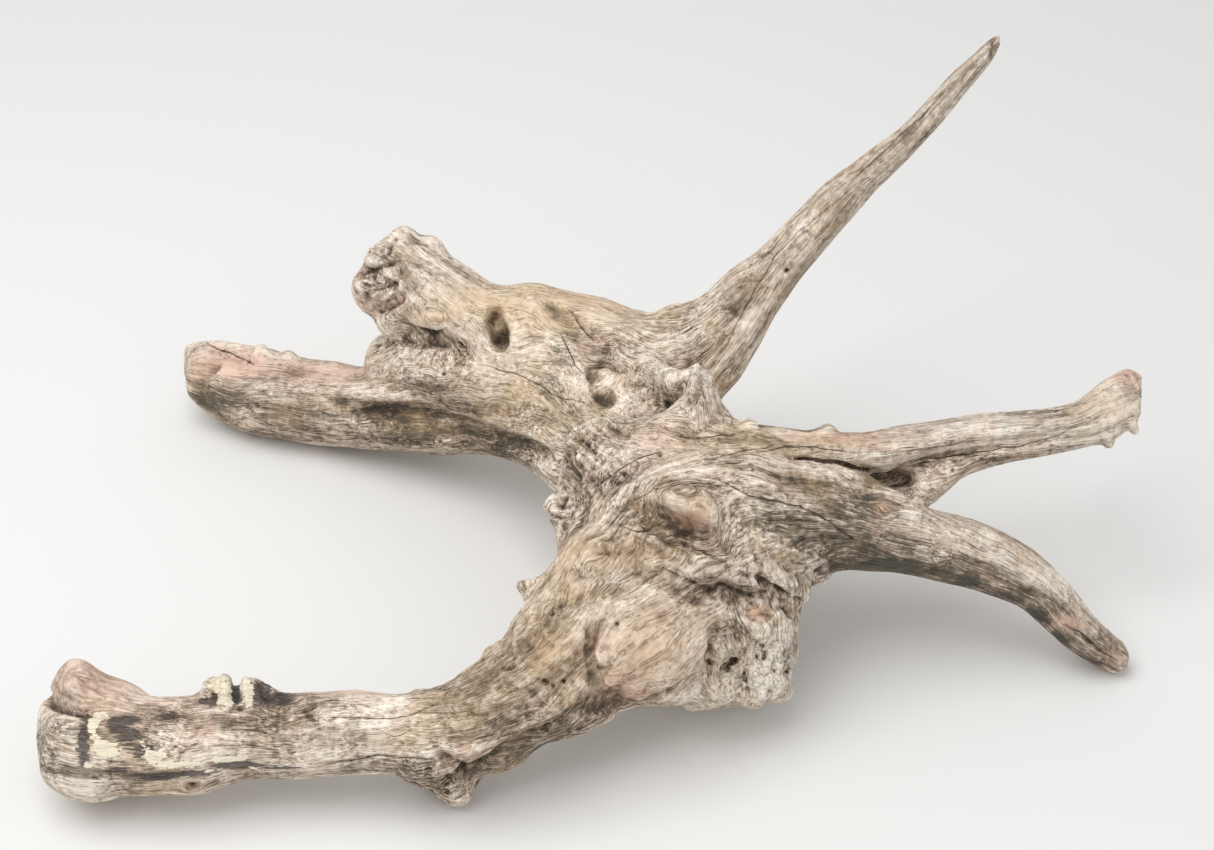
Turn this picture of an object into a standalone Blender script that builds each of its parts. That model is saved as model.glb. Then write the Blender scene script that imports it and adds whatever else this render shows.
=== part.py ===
"""A large weathered piece of driftwood: one root crown with its limbs, grown as one body.

The wood is one rounded form. Each limb is a lobed oval section carried along a curve, and the
limbs flow into each other through soft fillets. Knots, spurs and a burl are added the same way,
hollows and broken ends are taken away, and the skin of the result becomes one closed mesh.

Metres, +Z up. The piece stands on the ground at Z = 0, with the origin under its middle.
"""

import math
from collections import namedtuple

import bmesh
import bpy
import numpy as np

# Driving dimensions, metres
VIEW_LENGTH = 1.12  # what the picture shows from the chopped left end to the broken right end
SKIN_CELL = 0.006  # spacing of the grid that the skin is drawn through
COARSE_CELLS = 4  # cells of that grid to one cell of the rough survey
SKIN_TRIANGLES = 11600  # triangles kept for the finished skin
GROUND_WEAR = 0.004  # how deep the resting spots are worn flat
MIDDLE = (0.0040, -0.0621)  # middle of the piece's footprint, from the picture's middle

# How the piece is seen in the photograph, which places everything below
LEFT_PIXEL, RIGHT_PIXEL = 35, 1148  # the two ends across the picture
CENTRE_PX, CENTRE_PY = 607, 425  # the picture's middle
EYE_DISTANCE = 2.4
EYE_ELEVATION = math.radians(38)
AIM_HEIGHT = 0.17  # height of the point in the picture's middle

PIXEL = VIEW_LENGTH / (RIGHT_PIXEL - LEFT_PIXEL)  # at the middle's distance
FORWARD = np.array([0.0, math.cos(EYE_ELEVATION), -math.sin(EYE_ELEVATION)])
UPWARD = np.array([0.0, math.sin(EYE_ELEVATION), math.cos(EYE_ELEVATION)])
RIGHTWARD = np.array([1.0, 0.0, 0.0])
EYE = np.array([0.0, 0.0, AIM_HEIGHT]) - EYE_DISTANCE * FORWARD

# A limb is a row of stations. Each has its pixel across and down, the height of its middle above
# the ground, its half width across the picture and its half depth away from the eye.
Limb = namedtuple("Limb", "name fillet lobes stations")
# A lump is an oval body: pixel, height, half sizes across, up the picture and towards the eye.
Lump = namedtuple("Lump", "name px py height across upright deep fillet")
# A spur is a tapered peg between two seen points with their heights.
Spur = namedtuple("Spur", "name root root_height tip tip_height root_radius tip_radius fillet")
# A flat break: a seen point on it, and the direction that the missing wood lay in.
Break = namedtuple("Break", "name px py height across deep upright reach")
# A ridge or a groove lies on the skin, along pixels with its radius there. It rises above the
# skin, or cuts below it, by the relief, and fades away at its ends.
Strand = namedtuple("Strand", "name relief fillet path")
# A hole is an oval body on the skin, sunk straight away from the eye.
Hole = namedtuple("Hole", "name px py across upright deep fillet")
# A gnarl is a seen spot whose skin is rougher than the rest, out to its reach.
Gnarl = namedtuple("Gnarl", "name px py reach")
# Lobes round a limb: how many, how many waves to 2 pi metres of its length, and how strong.
Lobe = namedtuple("Lobe", "around along share")

LIMBS = (
    Limb("left limb", 0.030, 0.024, (
        (46, 734, 0.066, 0.049, 0.050),
        (98, 737, 0.066, 0.054, 0.058),
        (150, 747, 0.066, 0.044, 0.048),
        (200, 745, 0.070, 0.043, 0.043),
        (250, 737, 0.073, 0.037, 0.038),
        (300, 735, 0.075, 0.038, 0.039),
        (350, 732, 0.076, 0.038, 0.040),
        (400, 734, 0.077, 0.036, 0.041),
        (450, 728, 0.083, 0.038, 0.046),
        (525, 693, 0.100, 0.051, 0.058),
        (585, 648, 0.122, 0.072, 0.070),
        (640, 588, 0.145, 0.084, 0.080),
        (690, 530, 0.160, 0.084, 0.080),
    )),
    Limb("lower right limb", 0.035, 0.026, (
        (690, 530, 0.160, 0.080, 0.080),
        (760, 522, 0.166, 0.060, 0.066),
        (820, 523, 0.160, 0.049, 0.050),
        (870, 530, 0.152, 0.039, 0.042),
        (920, 541, 0.140, 0.034, 0.038),
        (980, 557, 0.118, 0.034, 0.034),
        (1035, 587, 0.084, 0.026, 0.029),
        (1080, 632, 0.046, 0.0220, 0.025),
        (1109, 654, 0.024, 0.0170, 0.019),
    )),
    Limb("upper right limb", 0.028, 0.022, (
        (612, 480, 0.185, 0.046, 0.056),
        (655, 472, 0.190, 0.054, 0.066),
        (720, 469, 0.192, 0.047, 0.062),
        (790, 465, 0.192, 0.036, 0.048),
        (860, 455, 0.192, 0.0235, 0.034),
        (910, 447, 0.190, 0.023, 0.030),
        (960, 440, 0.190, 0.023, 0.027),
        (1010, 436, 0.190, 0.024, 0.026),
        (1050, 431, 0.192, 0.022, 0.025),
        (1090, 421, 0.196, 0.0235, 0.026),
        (1124, 402, 0.200, 0.029, 0.028),
        (1146, 390, 0.202, 0.020, 0.022),
    )),
    Limb("front foot", 0.035, 0.030, (
        (712, 560, 0.150, 0.078, 0.072),
        (732, 612, 0.112, 0.064, 0.062),
        (736, 660, 0.076, 0.053, 0.052),
        (739, 700, 0.046, 0.052, 0.050),
    )),
    Limb("far left limb", 0.016, 0.024, (
        (178, 370, 0.064, 0.033, 0.036),
        (215, 376, 0.058, 0.040, 0.042),
        (252, 389, 0.052, 0.048, 0.047),
        (300, 401, 0.048, 0.047, 0.049),
        (350, 407, 0.054, 0.045, 0.050),
        (400, 413, 0.064, 0.044, 0.052),
        (450, 418, 0.080, 0.040, 0.052),
        (500, 423, 0.102, 0.036, 0.054),
        (550, 438, 0.128, 0.037, 0.058),
        (600, 466, 0.155, 0.047, 0.062),
    )),
    Limb("far shelf", 0.016, 0.024, (
        (408, 362, 0.112, 0.038, 0.048),
        (445, 362, 0.130, 0.050, 0.060),
        (500, 376, 0.146, 0.054, 0.066),
        (560, 394, 0.160, 0.054, 0.066),
        (620, 412, 0.170, 0.054, 0.064),
        (670, 440, 0.176, 0.062, 0.070),
    )),
    Limb("far ridge and spike", 0.026, 0.022, (
        (404, 276, 0.222, 0.040, 0.042),
        (434, 294, 0.212, 0.044, 0.050),
        (476, 323, 0.194, 0.0445, 0.056),
        (526, 340, 0.184, 0.064, 0.062),
        (590, 356, 0.182, 0.0625, 0.062),
        (650, 368, 0.190, 0.057, 0.058),
        (695, 352, 0.212, 0.053, 0.048),
        (724, 329, 0.240, 0.0405, 0.040),
        (750, 297, 0.272, 0.0325, 0.032),
        (780, 264, 0.303, 0.0255, 0.026),
        (809, 232, 0.335, 0.0228, 0.024),
        (838, 201, 0.362, 0.0225, 0.023),
        (868, 174, 0.388, 0.0178, 0.019),
        (900, 146, 0.418, 0.0155, 0.017),
        (932, 114, 0.450, 0.0135, 0.0145),
        (958, 85, 0.478, 0.0120, 0.013),
        (982, 59, 0.504, 0.0088, 0.010),
        (996, 41, 0.520, 0.005, 0.005),
    )),
    Limb("web between the right limbs", 0.012, 0.016, (
        (1000, 446, 0.184, 0.013, 0.014),
        (955, 467, 0.170, 0.013, 0.016),
        (918, 496, 0.152, 0.013, 0.020),
    )),
)

LOBES = (
    Lobe(2, 9, 1.0),
    Lobe(3, -14, 0.8),
    Lobe(5, 23, 0.6),
    Lobe(8, -31, 0.4),
    Lobe(0, 48, 0.7),
    Lobe(2, 90, 0.5),
)

LUMPS = (
    Lump("upper lobe of the left end", 72, 690, 0.104, 0.027, 0.030, 0.044, 0.014),
    Lump("shoulder behind that lobe", 104, 701, 0.096, 0.028, 0.015, 0.034, 0.016),
    Lump("lower lobe of the left end", 92, 768, 0.052, 0.031, 0.030, 0.038, 0.018),
    Lump("burl", 655, 642, 0.124, 0.052, 0.054, 0.062, 0.018),
    Lump("left shoulder of the burl", 634, 672, 0.098, 0.026, 0.028, 0.034, 0.010),
    Lump("toe of the burl", 668, 684, 0.078, 0.028, 0.020, 0.040, 0.012),
    Lump("great knot", 688, 508, 0.221, 0.038, 0.025, 0.040, 0.012),
    Lump("upper crust", 602, 450, 0.208, 0.028, 0.034, 0.034, 0.012),
    Lump("lower crust", 586, 480, 0.190, 0.020, 0.020, 0.028, 0.008),
    Lump("swelling under the crust", 580, 540, 0.160, 0.020, 0.030, 0.040, 0.012),
    Lump("fist, left knuckle", 371, 290, 0.206, 0.020, 0.026, 0.036, 0.006),
    Lump("fist, second knuckle", 388, 267, 0.226, 0.019, 0.018, 0.032, 0.006),
    Lump("fist, third knuckle", 403, 247, 0.240, 0.020, 0.023, 0.036, 0.006),
    Lump("fist, right knuckle", 430, 256, 0.236, 0.019, 0.023, 0.030, 0.010),
    Lump("heel of the fist", 392, 317, 0.186, 0.021, 0.023, 0.030, 0.014),
    Lump("near knob", 438, 770, 0.038, 0.032, 0.020, 0.032, 0.016),
    Lump("tip of the near knob", 456, 782, 0.026, 0.018, 0.022, 0.026, 0.012),
    Lump("wave beside the near knob", 496, 746, 0.055, 0.032, 0.025, 0.034, 0.018),
    Lump("wave under the burl", 564, 702, 0.075, 0.034, 0.020, 0.036, 0.020),
    Lump("right corner of the foot", 770, 605, 0.130, 0.030, 0.034, 0.038, 0.012),
    Lump("scale over that corner", 797, 564, 0.150, 0.025, 0.018, 0.034, 0.012),
    Lump("web in the right crotch", 902, 481, 0.158, 0.044, 0.022, 0.024, 0.014),
    Lump("knob at the right end", 1132, 385, 0.206, 0.016, 0.018, 0.020, 0.008),
)

SPURS = (
    Spur("upright spur", (694, 434), 0.226, (701, 358), 0.294, 0.031, 0.0095, 0.026),
    Spur("bump on the crust", (566, 520), 0.175, (553, 506), 0.182, 0.014, 0.009, 0.010),
    Spur("upper thorn", (552, 600), 0.140, (521, 586), 0.150, 0.022, 0.008, 0.012),
    Spur("lower thorn", (514, 660), 0.130, (489, 650), 0.140, 0.018, 0.006, 0.012),
    Spur("small thorn", (424, 708), 0.095, (418, 688), 0.110, 0.010, 0.003, 0.008),
    Spur("left horn of the stub", (216, 715), 0.098, (212, 688), 0.119, 0.016, 0.010, 0.005),
    Spur("second horn of the stub", (224, 715), 0.098, (223, 683), 0.121, 0.015, 0.011, 0.004),
    Spur("middle of the stub", (238, 714), 0.098, (238, 696), 0.114, 0.018, 0.013, 0.004),
    Spur("right horn of the stub", (252, 715), 0.098, (252, 686), 0.120, 0.017, 0.011, 0.004),
    Spur("right slope of the stub", (262, 716), 0.096, (267, 698), 0.108, 0.016, 0.010, 0.006),
    Spur("cut knot", (190, 775), 0.030, (192, 786), 0.018, 0.011, 0.008, 0.006),
    Spur("left peak of the hub", (748, 444), 0.232, (750, 424), 0.246, 0.016, 0.009, 0.008),
    Spur("right peak of the hub", (820, 446), 0.212, (828, 433), 0.223, 0.017, 0.011, 0.006),
    Spur("first bump, far left limb", (262, 356), 0.098, (262, 347), 0.102, 0.012, 0.005, 0.010),
    Spur("second bump, far left limb", (290, 360), 0.094, (289, 352), 0.098, 0.013, 0.006, 0.010),
    Spur("splinter, far left limb", (236, 356), 0.090, (206, 345), 0.096, 0.012, 0.006, 0.006),
)

# Barbs stand on the broken end, so they are added after the breaks.
BARBS = (
    Spur("first barb of the right end", (1092, 431), 0.187, (1109, 443), 0.174, 0.011, 0.0055, 0.005),
    Spur("second barb of the right end", (1118, 406), 0.196, (1130, 427), 0.178, 0.011, 0.0070, 0.004),
)

BREAKS = (
    Break("upper left end", 50, 676, 0.090, -0.85, -0.10, 0.50, 0.005),
    Break("lower left end", 32, 728, 0.066, -1.0, -0.30, -0.10, 0.012),
    Break("lower corner of the left end", 45, 768, 0.045, -0.83, -0.10, -0.55, 0.010),
    Break("far left end", 185, 374, 0.064, -1.0, -0.20, 0.10, 0.006),
    Break("upper corner of that end", 190, 351, 0.085, -0.65, -0.15, 0.75, 0.005),
    Break("lower corner of that end", 190, 394, 0.045, -0.80, -0.25, -0.55, 0.008),
    Break("upper right end", 1143, 372, 0.206, 0.69, -0.15, 0.72, 0.004),
    Break("lower right end", 1153, 396, 0.200, 0.86, -0.15, -0.50, 0.004),
    Break("underside of the right end", 1128, 420, 0.188, 0.74, -0.10, -0.66, 0.004),
    Break("front of the foot", 735, 703, 0.060, 0.10, -0.75, -0.65, 0.008),
    Break("top of the stub", 238, 676, 0.125, 0.0, -0.10, 1.0, 0.004),
)

RIDGES = (
    Strand("ear beside the far hollow", 0.010, 0.012, (
        (508, 302, 0.008), (511, 314, 0.012), (518, 328, 0.014), (518, 342, 0.012), (514, 352, 0.009),
    )),
    Strand("far knob", 0.007, 0.010, ((418, 320, 0.008), (434, 318, 0.011), (452, 322, 0.009))),
    Strand("crest of the great knot", 0.010, 0.012, (
        (650, 498, 0.010), (668, 500, 0.014), (688, 505, 0.018), (706, 516, 0.016), (716, 528, 0.010),
    )),
    Strand("fold left of the burl's top", 0.007, 0.012, (
        (590, 556, 0.010), (655, 561, 0.014), (706, 580, 0.011),
    )),
    Strand("fold above the foot", 0.008, 0.012, ((680, 556, 0.010), (728, 576, 0.014), (766, 596, 0.009))),
    Strand("middle fold of the foot", 0.008, 0.012, (
        (736, 558, 0.010), (774, 577, 0.014), (798, 596, 0.010),
    )),
    Strand("right fold of the foot", 0.007, 0.010, (
        (776, 548, 0.009), (804, 565, 0.013), (820, 576, 0.008),
    )),
    Strand("fold up to the spur", 0.008, 0.014, (
        (596, 494, 0.010), (634, 458, 0.014), (670, 428, 0.015), (704, 404, 0.011),
    )),
    Strand("fold over the great knot", 0.006, 0.014, (
        (604, 512, 0.009), (655, 486, 0.013), (712, 482, 0.014), (768, 500, 0.010),
    )),
    Strand("fold on towards the right", 0.005, 0.014, (
        (700, 466, 0.010), (800, 470, 0.013), (862, 486, 0.012), (910, 514, 0.010),
    )),
    Strand("crust's lowest bump", 0.006, 0.006, ((566, 500, 0.011),)),
    Strand("crust's left bump", 0.007, 0.006, ((574, 472, 0.011), (584, 462, 0.009))),
    Strand("crust's upper bump", 0.007, 0.006, ((574, 444, 0.010), (590, 436, 0.011))),
    Strand("crust's top bump", 0.006, 0.006, ((606, 430, 0.010), (620, 424, 0.009))),
    Strand("crust's right bump", 0.006, 0.006, ((606, 462, 0.009), (614, 448, 0.009))),
    Strand("knot of the foot", 0.006, 0.006, ((754, 612, 0.010),)),
    Strand("knot of the lower limb", 0.004, 0.006, ((882, 508, 0.010),)),
    Strand("brow of the foot", 0.007, 0.010, ((722, 642, 0.010), (748, 630, 0.014), (776, 634, 0.010))),
    Strand("right cheek of the foot", 0.007, 0.010, (
        (766, 690, 0.010), (776, 670, 0.013), (790, 652, 0.010),
    )),
    Strand("left hem of the foot", 0.006, 0.008, ((706, 694, 0.011), (722, 688, 0.010))),
    Strand("inner cord of the trunk", 0.007, 0.014, (
        (456, 716, 0.011), (520, 690, 0.014), (574, 640, 0.012),
    )),
    Strand("outer cord of the trunk", 0.007, 0.014, (
        (420, 750, 0.010), (480, 745, 0.014), (550, 708, 0.011),
    )),
    Strand("brow of the near knob", 0.006, 0.010, (
        (414, 770, 0.008), (444, 762, 0.011), (490, 750, 0.009),
    )),
    Strand("lip of the far left limb", 0.005, 0.012, (
        (220, 385, 0.011), (320, 392, 0.013), (410, 394, 0.012),
    )),
    Strand("cord of the shelf", 0.006, 0.014, ((378, 366, 0.010), (440, 374, 0.014), (530, 404, 0.011))),
    Strand("spine of the ridge", 0.006, 0.014, (
        (540, 306, 0.011), (620, 336, 0.014), (690, 334, 0.013), (746, 290, 0.009),
    )),
    Strand("lower cord of the ridge", 0.005, 0.014, (
        (550, 346, 0.010), (640, 366, 0.014), (684, 384, 0.010),
    )),
    Strand("cord of the lower right limb", 0.005, 0.012, (
        (890, 526, 0.009), (980, 540, 0.012), (1056, 590, 0.010),
    )),
    Strand("cord of the left limb", 0.005, 0.014, (
        (150, 710, 0.012), (300, 714, 0.013), (430, 710, 0.010),
    )),
)

GROOVES = (
    Strand("recess under the shelf", 0.018, 0.009, (
        (340, 404, 0.007), (385, 413, 0.013), (420, 422, 0.017), (455, 430, 0.017),
        (490, 437, 0.014), (525, 446, 0.010), (556, 458, 0.007),
    )),
    Strand("seam round the crust", 0.012, 0.007, (
        (556, 486, 0.007), (560, 450, 0.009), (578, 428, 0.009), (600, 416, 0.009),
        (632, 418, 0.008), (655, 409, 0.009), (668, 404, 0.009), (684, 384, 0.007),
    )),
    Strand("hollow left of the burl", 0.015, 0.010, (
        (610, 616, 0.008), (598, 640, 0.011), (592, 662, 0.013), (602, 684, 0.012), (624, 708, 0.009),
    )),
    Strand("seam right of the burl", 0.012, 0.009, (
        (656, 700, 0.007), (690, 684, 0.011), (708, 664, 0.011), (714, 630, 0.008),
    )),
    Strand("left crease over the foot", 0.011, 0.009, (
        (640, 574, 0.007), (684, 588, 0.012), (712, 598, 0.008),
    )),
    Strand("middle crease", 0.011, 0.009, ((706, 584, 0.007), (736, 598, 0.012), (764, 608, 0.008))),
    Strand("right crease", 0.010, 0.009, ((760, 586, 0.007), (782, 600, 0.011), (802, 616, 0.008))),
    Strand("shadow under the great knot", 0.016, 0.010, (
        (644, 508, 0.008), (662, 524, 0.014), (690, 538, 0.016), (720, 540, 0.009),
    )),
    Strand("upper fan groove", 0.011, 0.006, ((412, 284, 0.006), (388, 256, 0.010), (372, 238, 0.010))),
    Strand("middle fan groove", 0.011, 0.006, ((412, 286, 0.006), (382, 277, 0.010), (350, 268, 0.010))),
    Strand("lower fan groove", 0.011, 0.006, ((414, 288, 0.006), (388, 299, 0.010), (360, 324, 0.010))),
    Strand("far left splinter crack", 0.009, 0.005, (
        (202, 344, 0.006), (228, 353, 0.008), (254, 363, 0.006),
    )),
    Strand("fissure of the left end", 0.013, 0.007, ((40, 693, 0.008), (66, 705, 0.010), (96, 719, 0.007))),
    Strand("shadow under the far knob", 0.009, 0.008, (
        (390, 330, 0.007), (430, 338, 0.011), (464, 350, 0.007),
    )),
    Strand("run into the bowl", 0.008, 0.010, ((586, 350, 0.008), (596, 368, 0.012), (602, 388, 0.014))),
    Strand("great crack of the hub", 0.008, 0.006, (
        (790, 457, 0.006), (840, 464, 0.008), (874, 476, 0.008),
    )),
    Strand("crease left of the burl's top", 0.007, 0.010, (
        (550, 602, 0.007), (600, 590, 0.011), (640, 586, 0.007),
    )),
    Strand("inner trunk furrow", 0.010, 0.010, ((486, 728, 0.008), (546, 694, 0.013), (590, 656, 0.009))),
    Strand("outer trunk furrow", 0.009, 0.010, ((460, 768, 0.008), (520, 742, 0.012), (580, 712, 0.008))),
    Strand("left furrow of the ridge", 0.008, 0.012, (
        (646, 398, 0.008), (600, 352, 0.012), (552, 308, 0.008),
    )),
    Strand("furrow of the spike", 0.007, 0.010, ((786, 234, 0.007), (735, 310, 0.012), (694, 370, 0.009))),
    Strand("furrow of the left limb", 0.006, 0.010, (
        (100, 710, 0.007), (200, 722, 0.010), (310, 716, 0.007),
    )),
    Strand("furrow of the upper right limb", 0.006, 0.008, (
        (900, 472, 0.007), (970, 452, 0.010), (1064, 440, 0.007),
    )),
    Strand("furrow of the hub's right", 0.007, 0.010, (
        (730, 516, 0.008), (800, 530, 0.012), (870, 556, 0.009),
    )),
    Strand("left notch of the stub", 0.005, 0.004, (
        (217, 672, 0.004), (217, 686, 0.006), (215, 702, 0.004),
    )),
    Strand("slot of the stub", 0.006, 0.005, ((234, 674, 0.006), (235, 690, 0.007), (237, 706, 0.006))),
)

HOLES = (
    Hole("upper end of the far hollow", 495, 322, 0.0085, 0.016, 0.022, 0.006),
    Hole("far hollow", 501, 338, 0.0095, 0.017, 0.034, 0.005),
    Hole("bowl", 602, 396, 0.016, 0.015, 0.024, 0.009),
    Hole("hole of the foot", 731, 666, 0.009, 0.011, 0.030, 0.007),
    Hole("pocket in the right crotch", 893, 479, 0.024, 0.011, 0.018, 0.005),
    Hole("dark end of that pocket", 874, 483, 0.011, 0.009, 0.018, 0.005),
    Hole("upper pit of the foot", 764, 650, 0.010, 0.009, 0.009, 0.006),
    Hole("right pit of the foot", 782, 670, 0.009, 0.008, 0.008, 0.005),
    Hole("hole behind the spur", 668, 405, 0.009, 0.008, 0.018, 0.005),
    Hole("hollow under the burl", 600, 706, 0.020, 0.014, 0.018, 0.010),
    Hole("palm of the fist", 392, 282, 0.014, 0.020, 0.011, 0.009),
    Hole("cut face, far left end", 210, 365, 0.016, 0.012, 0.006, 0.005),
)

GNARLS = (
    Gnarl("crust", 592, 458, 0.050),
    Gnarl("foot", 745, 660, 0.060),
    Gnarl("folds over the foot", 745, 590, 0.060),
    Gnarl("near knob", 440, 775, 0.045),
    Gnarl("wave under the burl", 560, 700, 0.060),
    Gnarl("under the great knot", 640, 540, 0.060),
    Gnarl("fist", 385, 275, 0.030),
)

ROUGHNESS = 0.0028  # how far the skin wanders in and out, half of it on plain wood
ROUGH_SPACING = 0.042  # between one swell of that and the next
FINER_SWELLS = 0.6  # strength of the swells of half that spacing
GNARLED = 2.6  # times as rough at the middle of a gnarl
ROUGH_GRID = 48  # seeded swells a side, which repeat beyond that

WOOD_COLOUR = (0.42, 0.35, 0.275, 1.0)
WOOD_ROUGHNESS = 0.85

SPAN_SAMPLES = 8  # samples of a limb's curve between two stations
SAMPLE_ROOM = 0.75  # part of a sample's length in which a point still belongs to it
STRAND_ENDS = 0.3  # part of a ridge's or groove's relief left at its two ends
BREAK_REACH = 0.12  # how far round its seen point a break cuts
SIGHT_REACH = 0.75  # how far before and behind the picture's middle the eye looks for the skin
SIGHT_STEP = 0.003
GRID_MARGIN = 0.10  # room round the limbs' middles for their thickness
NEAR_CELLS = 2.2  # rough cells on both sides of the skin that are surveyed finely
SEED = 7


def seen(px, py, height):
    """The place at this pixel of the photograph whose height above the ground is given."""
    ray = FORWARD * EYE_DISTANCE
    ray = ray + RIGHTWARD * (px - CENTRE_PX) * PIXEL + UPWARD * (CENTRE_PY - py) * PIXEL
    return EYE + ray * (height - EYE[2]) / ray[2]


def unit(vectors):
    """Each vector of the array at length one."""
    return vectors / np.linalg.norm(vectors, axis=-1, keepdims=True)


def smooth_curve(rows):
    """Samples of the curve that runs smoothly through every row (a Catmull-Rom spline)."""
    ends = np.vstack([2 * rows[0] - rows[1], rows, 2 * rows[-1] - rows[-2]])
    t = np.linspace(0, 1, SPAN_SAMPLES, endpoint=False)[:, None]
    spans = []
    for a, b, c, d in zip(ends, ends[1:], ends[2:], ends[3:]):
        spans.append(0.5 * (
            2 * b + (c - a) * t + (2 * a - 5 * b + 4 * c - d) * t**2
            + (3 * b - a - 3 * c + d) * t**3
        ))
    return np.vstack([*spans, rows[-1]])


def soft_min(a, b, fillet):
    """The lesser of two distances, rounded over a fillet where they meet."""
    blend = np.clip(0.5 + 0.5 * (b - a) / fillet, 0, 1)
    return b + (a - b) * blend - fillet * blend * (1 - blend)


def oval_distance(offsets, halves):
    """Distance to an oval's skin along the line from its middle, from offsets in its own axes."""
    reach = np.linalg.norm(offsets, axis=1)
    share = np.linalg.norm(offsets / halves, axis=1)
    return reach * (1 - 1 / np.maximum(share, 1e-6))


def limb_distance(points, limb, rng):
    """Distance to a limb's skin: an oval section with shallow lobes that turn along its curve."""
    rows = np.array([(*seen(px, py, height), wide, deep) for px, py, height, wide, deep in limb.stations])
    curve = smooth_curve(rows)
    middle, halves = curve[:, :3], curve[:, 3:]
    along = unit(np.gradient(middle, axis=0))
    side = unit(np.cross(along, FORWARD))
    front = np.cross(side, along)
    step = np.linalg.norm(np.diff(middle, axis=0), axis=1)
    length = np.concatenate([[0], np.cumsum(step)])
    growth = np.gradient(halves, length, axis=0)

    squares = (points**2).sum(1)[:, None] - 2 * points @ middle.T + (middle**2).sum(1)
    nearest = squares.argmin(1)
    offset = points - middle[nearest]
    ahead = (offset * along[nearest]).sum(1)
    room = step.max() * SAMPLE_ROOM
    kept = np.clip(ahead, -room, room)
    beyond = ahead - kept
    reach = halves[nearest] + growth[nearest] * kept[:, None]
    across = (offset * side[nearest]).sum(1)
    inward = (offset * front[nearest]).sum(1)
    turn = np.arctan2(inward, across)
    place = length[nearest] + kept

    phases = rng.uniform(0, 2 * math.pi, len(LOBES))
    waves = [
        lobe.share * np.cos(lobe.around * turn + lobe.along * place + phase)
        for lobe, phase in zip(LOBES, phases)
    ]
    swell = 1 + limb.lobes * sum(waves)
    caps = reach.min(1)
    return oval_distance(
        np.stack([across, inward, beyond], 1), np.stack([reach[:, 0] * swell, reach[:, 1] * swell, caps], 1)
    )


def lump_distance(points, lump):
    """Distance to an oval body that is set square to the eye."""
    offset = points - seen(lump.px, lump.py, lump.height)
    own = np.stack([offset @ RIGHTWARD, offset @ UPWARD, offset @ FORWARD], 1)
    return oval_distance(own, np.array([lump.across, lump.upright, lump.deep]))


def spur_distance(points, spur):
    """Distance to a tapered peg with round ends."""
    root, tip = seen(*spur.root, spur.root_height), seen(*spur.tip, spur.tip_height)
    line = tip - root
    share = np.clip((points - root) @ line / (line @ line), 0, 1)
    radius = spur.root_radius + (spur.tip_radius - spur.root_radius) * share
    return np.linalg.norm(points - root - share[:, None] * line, axis=1) - radius


def strand_distance(points, middles, radii):
    """Distance to a chain of round rods that run from each middle to the next and taper between."""
    if len(middles) == 1:
        return np.linalg.norm(points - middles[0], axis=1) - radii[0]
    depth = np.full(len(points), np.inf)
    for start, end, wide, narrow in zip(middles, middles[1:], radii, radii[1:]):
        line = end - start
        share = np.clip((points - start) @ line / (line @ line), 0, 1)
        reach = np.linalg.norm(points - start - share[:, None] * line, axis=1)
        depth = np.minimum(depth, reach - wide - (narrow - wide) * share)
    return depth


def swells(points, spacing, rng):
    """Smooth seeded noise between -1 and 1, from random values at the corners of a grid."""
    values = rng.uniform(-1, 1, (ROUGH_GRID,) * 3)
    place = points / spacing
    corner = np.floor(place).astype(int)
    part = place - corner
    part = part * part * (3 - 2 * part)
    total = np.zeros(len(points))
    for step in np.ndindex(2, 2, 2):
        index = tuple(((corner + step) % ROUGH_GRID).T)
        total += values[index] * np.where(step, part, 1 - part).prod(1)
    return total


def main_form(points):
    """Distance to the skin of the limbs with their lumps, spurs and broken ends."""
    rng = np.random.default_rng(SEED)
    depth = np.full(len(points), 1.0)
    for limb in LIMBS:
        depth = soft_min(depth, limb_distance(points, limb, rng), limb.fillet)
    for lump in LUMPS:
        depth = soft_min(depth, lump_distance(points, lump), lump.fillet)
    for spur in SPURS:
        depth = soft_min(depth, spur_distance(points, spur), spur.fillet)
    for cut in BREAKS:
        outward = unit(np.array([cut.across, cut.deep, cut.upright]))
        offset = points - seen(cut.px, cut.py, cut.height)
        near = np.linalg.norm(offset, axis=1) < BREAK_REACH
        depth = np.where(near, -soft_min(-depth, -(offset @ outward), cut.reach), depth)
    for barb in BARBS:
        depth = soft_min(depth, spur_distance(points, barb), barb.fillet)
    return depth


def on_skin(pixels):
    """For each pixel, the place where the main form is first seen, and the way the eye looks there."""
    pixels = np.array(pixels, float)
    rays = FORWARD * EYE_DISTANCE + (pixels[:, :1] - CENTRE_PX) * PIXEL * RIGHTWARD
    rays = unit(rays + (CENTRE_PY - pixels[:, 1:]) * PIXEL * UPWARD)
    steps = np.arange(EYE_DISTANCE - SIGHT_REACH, EYE_DISTANCE + SIGHT_REACH, SIGHT_STEP)
    places = EYE + rays[:, None] * steps[:, None]
    depth = main_form(places.reshape(-1, 3)).reshape(len(pixels), -1)
    first = np.where((depth < 0).any(1), (depth < 0).argmax(1), depth.argmin(1))
    return places[np.arange(len(pixels)), first], rays


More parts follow.
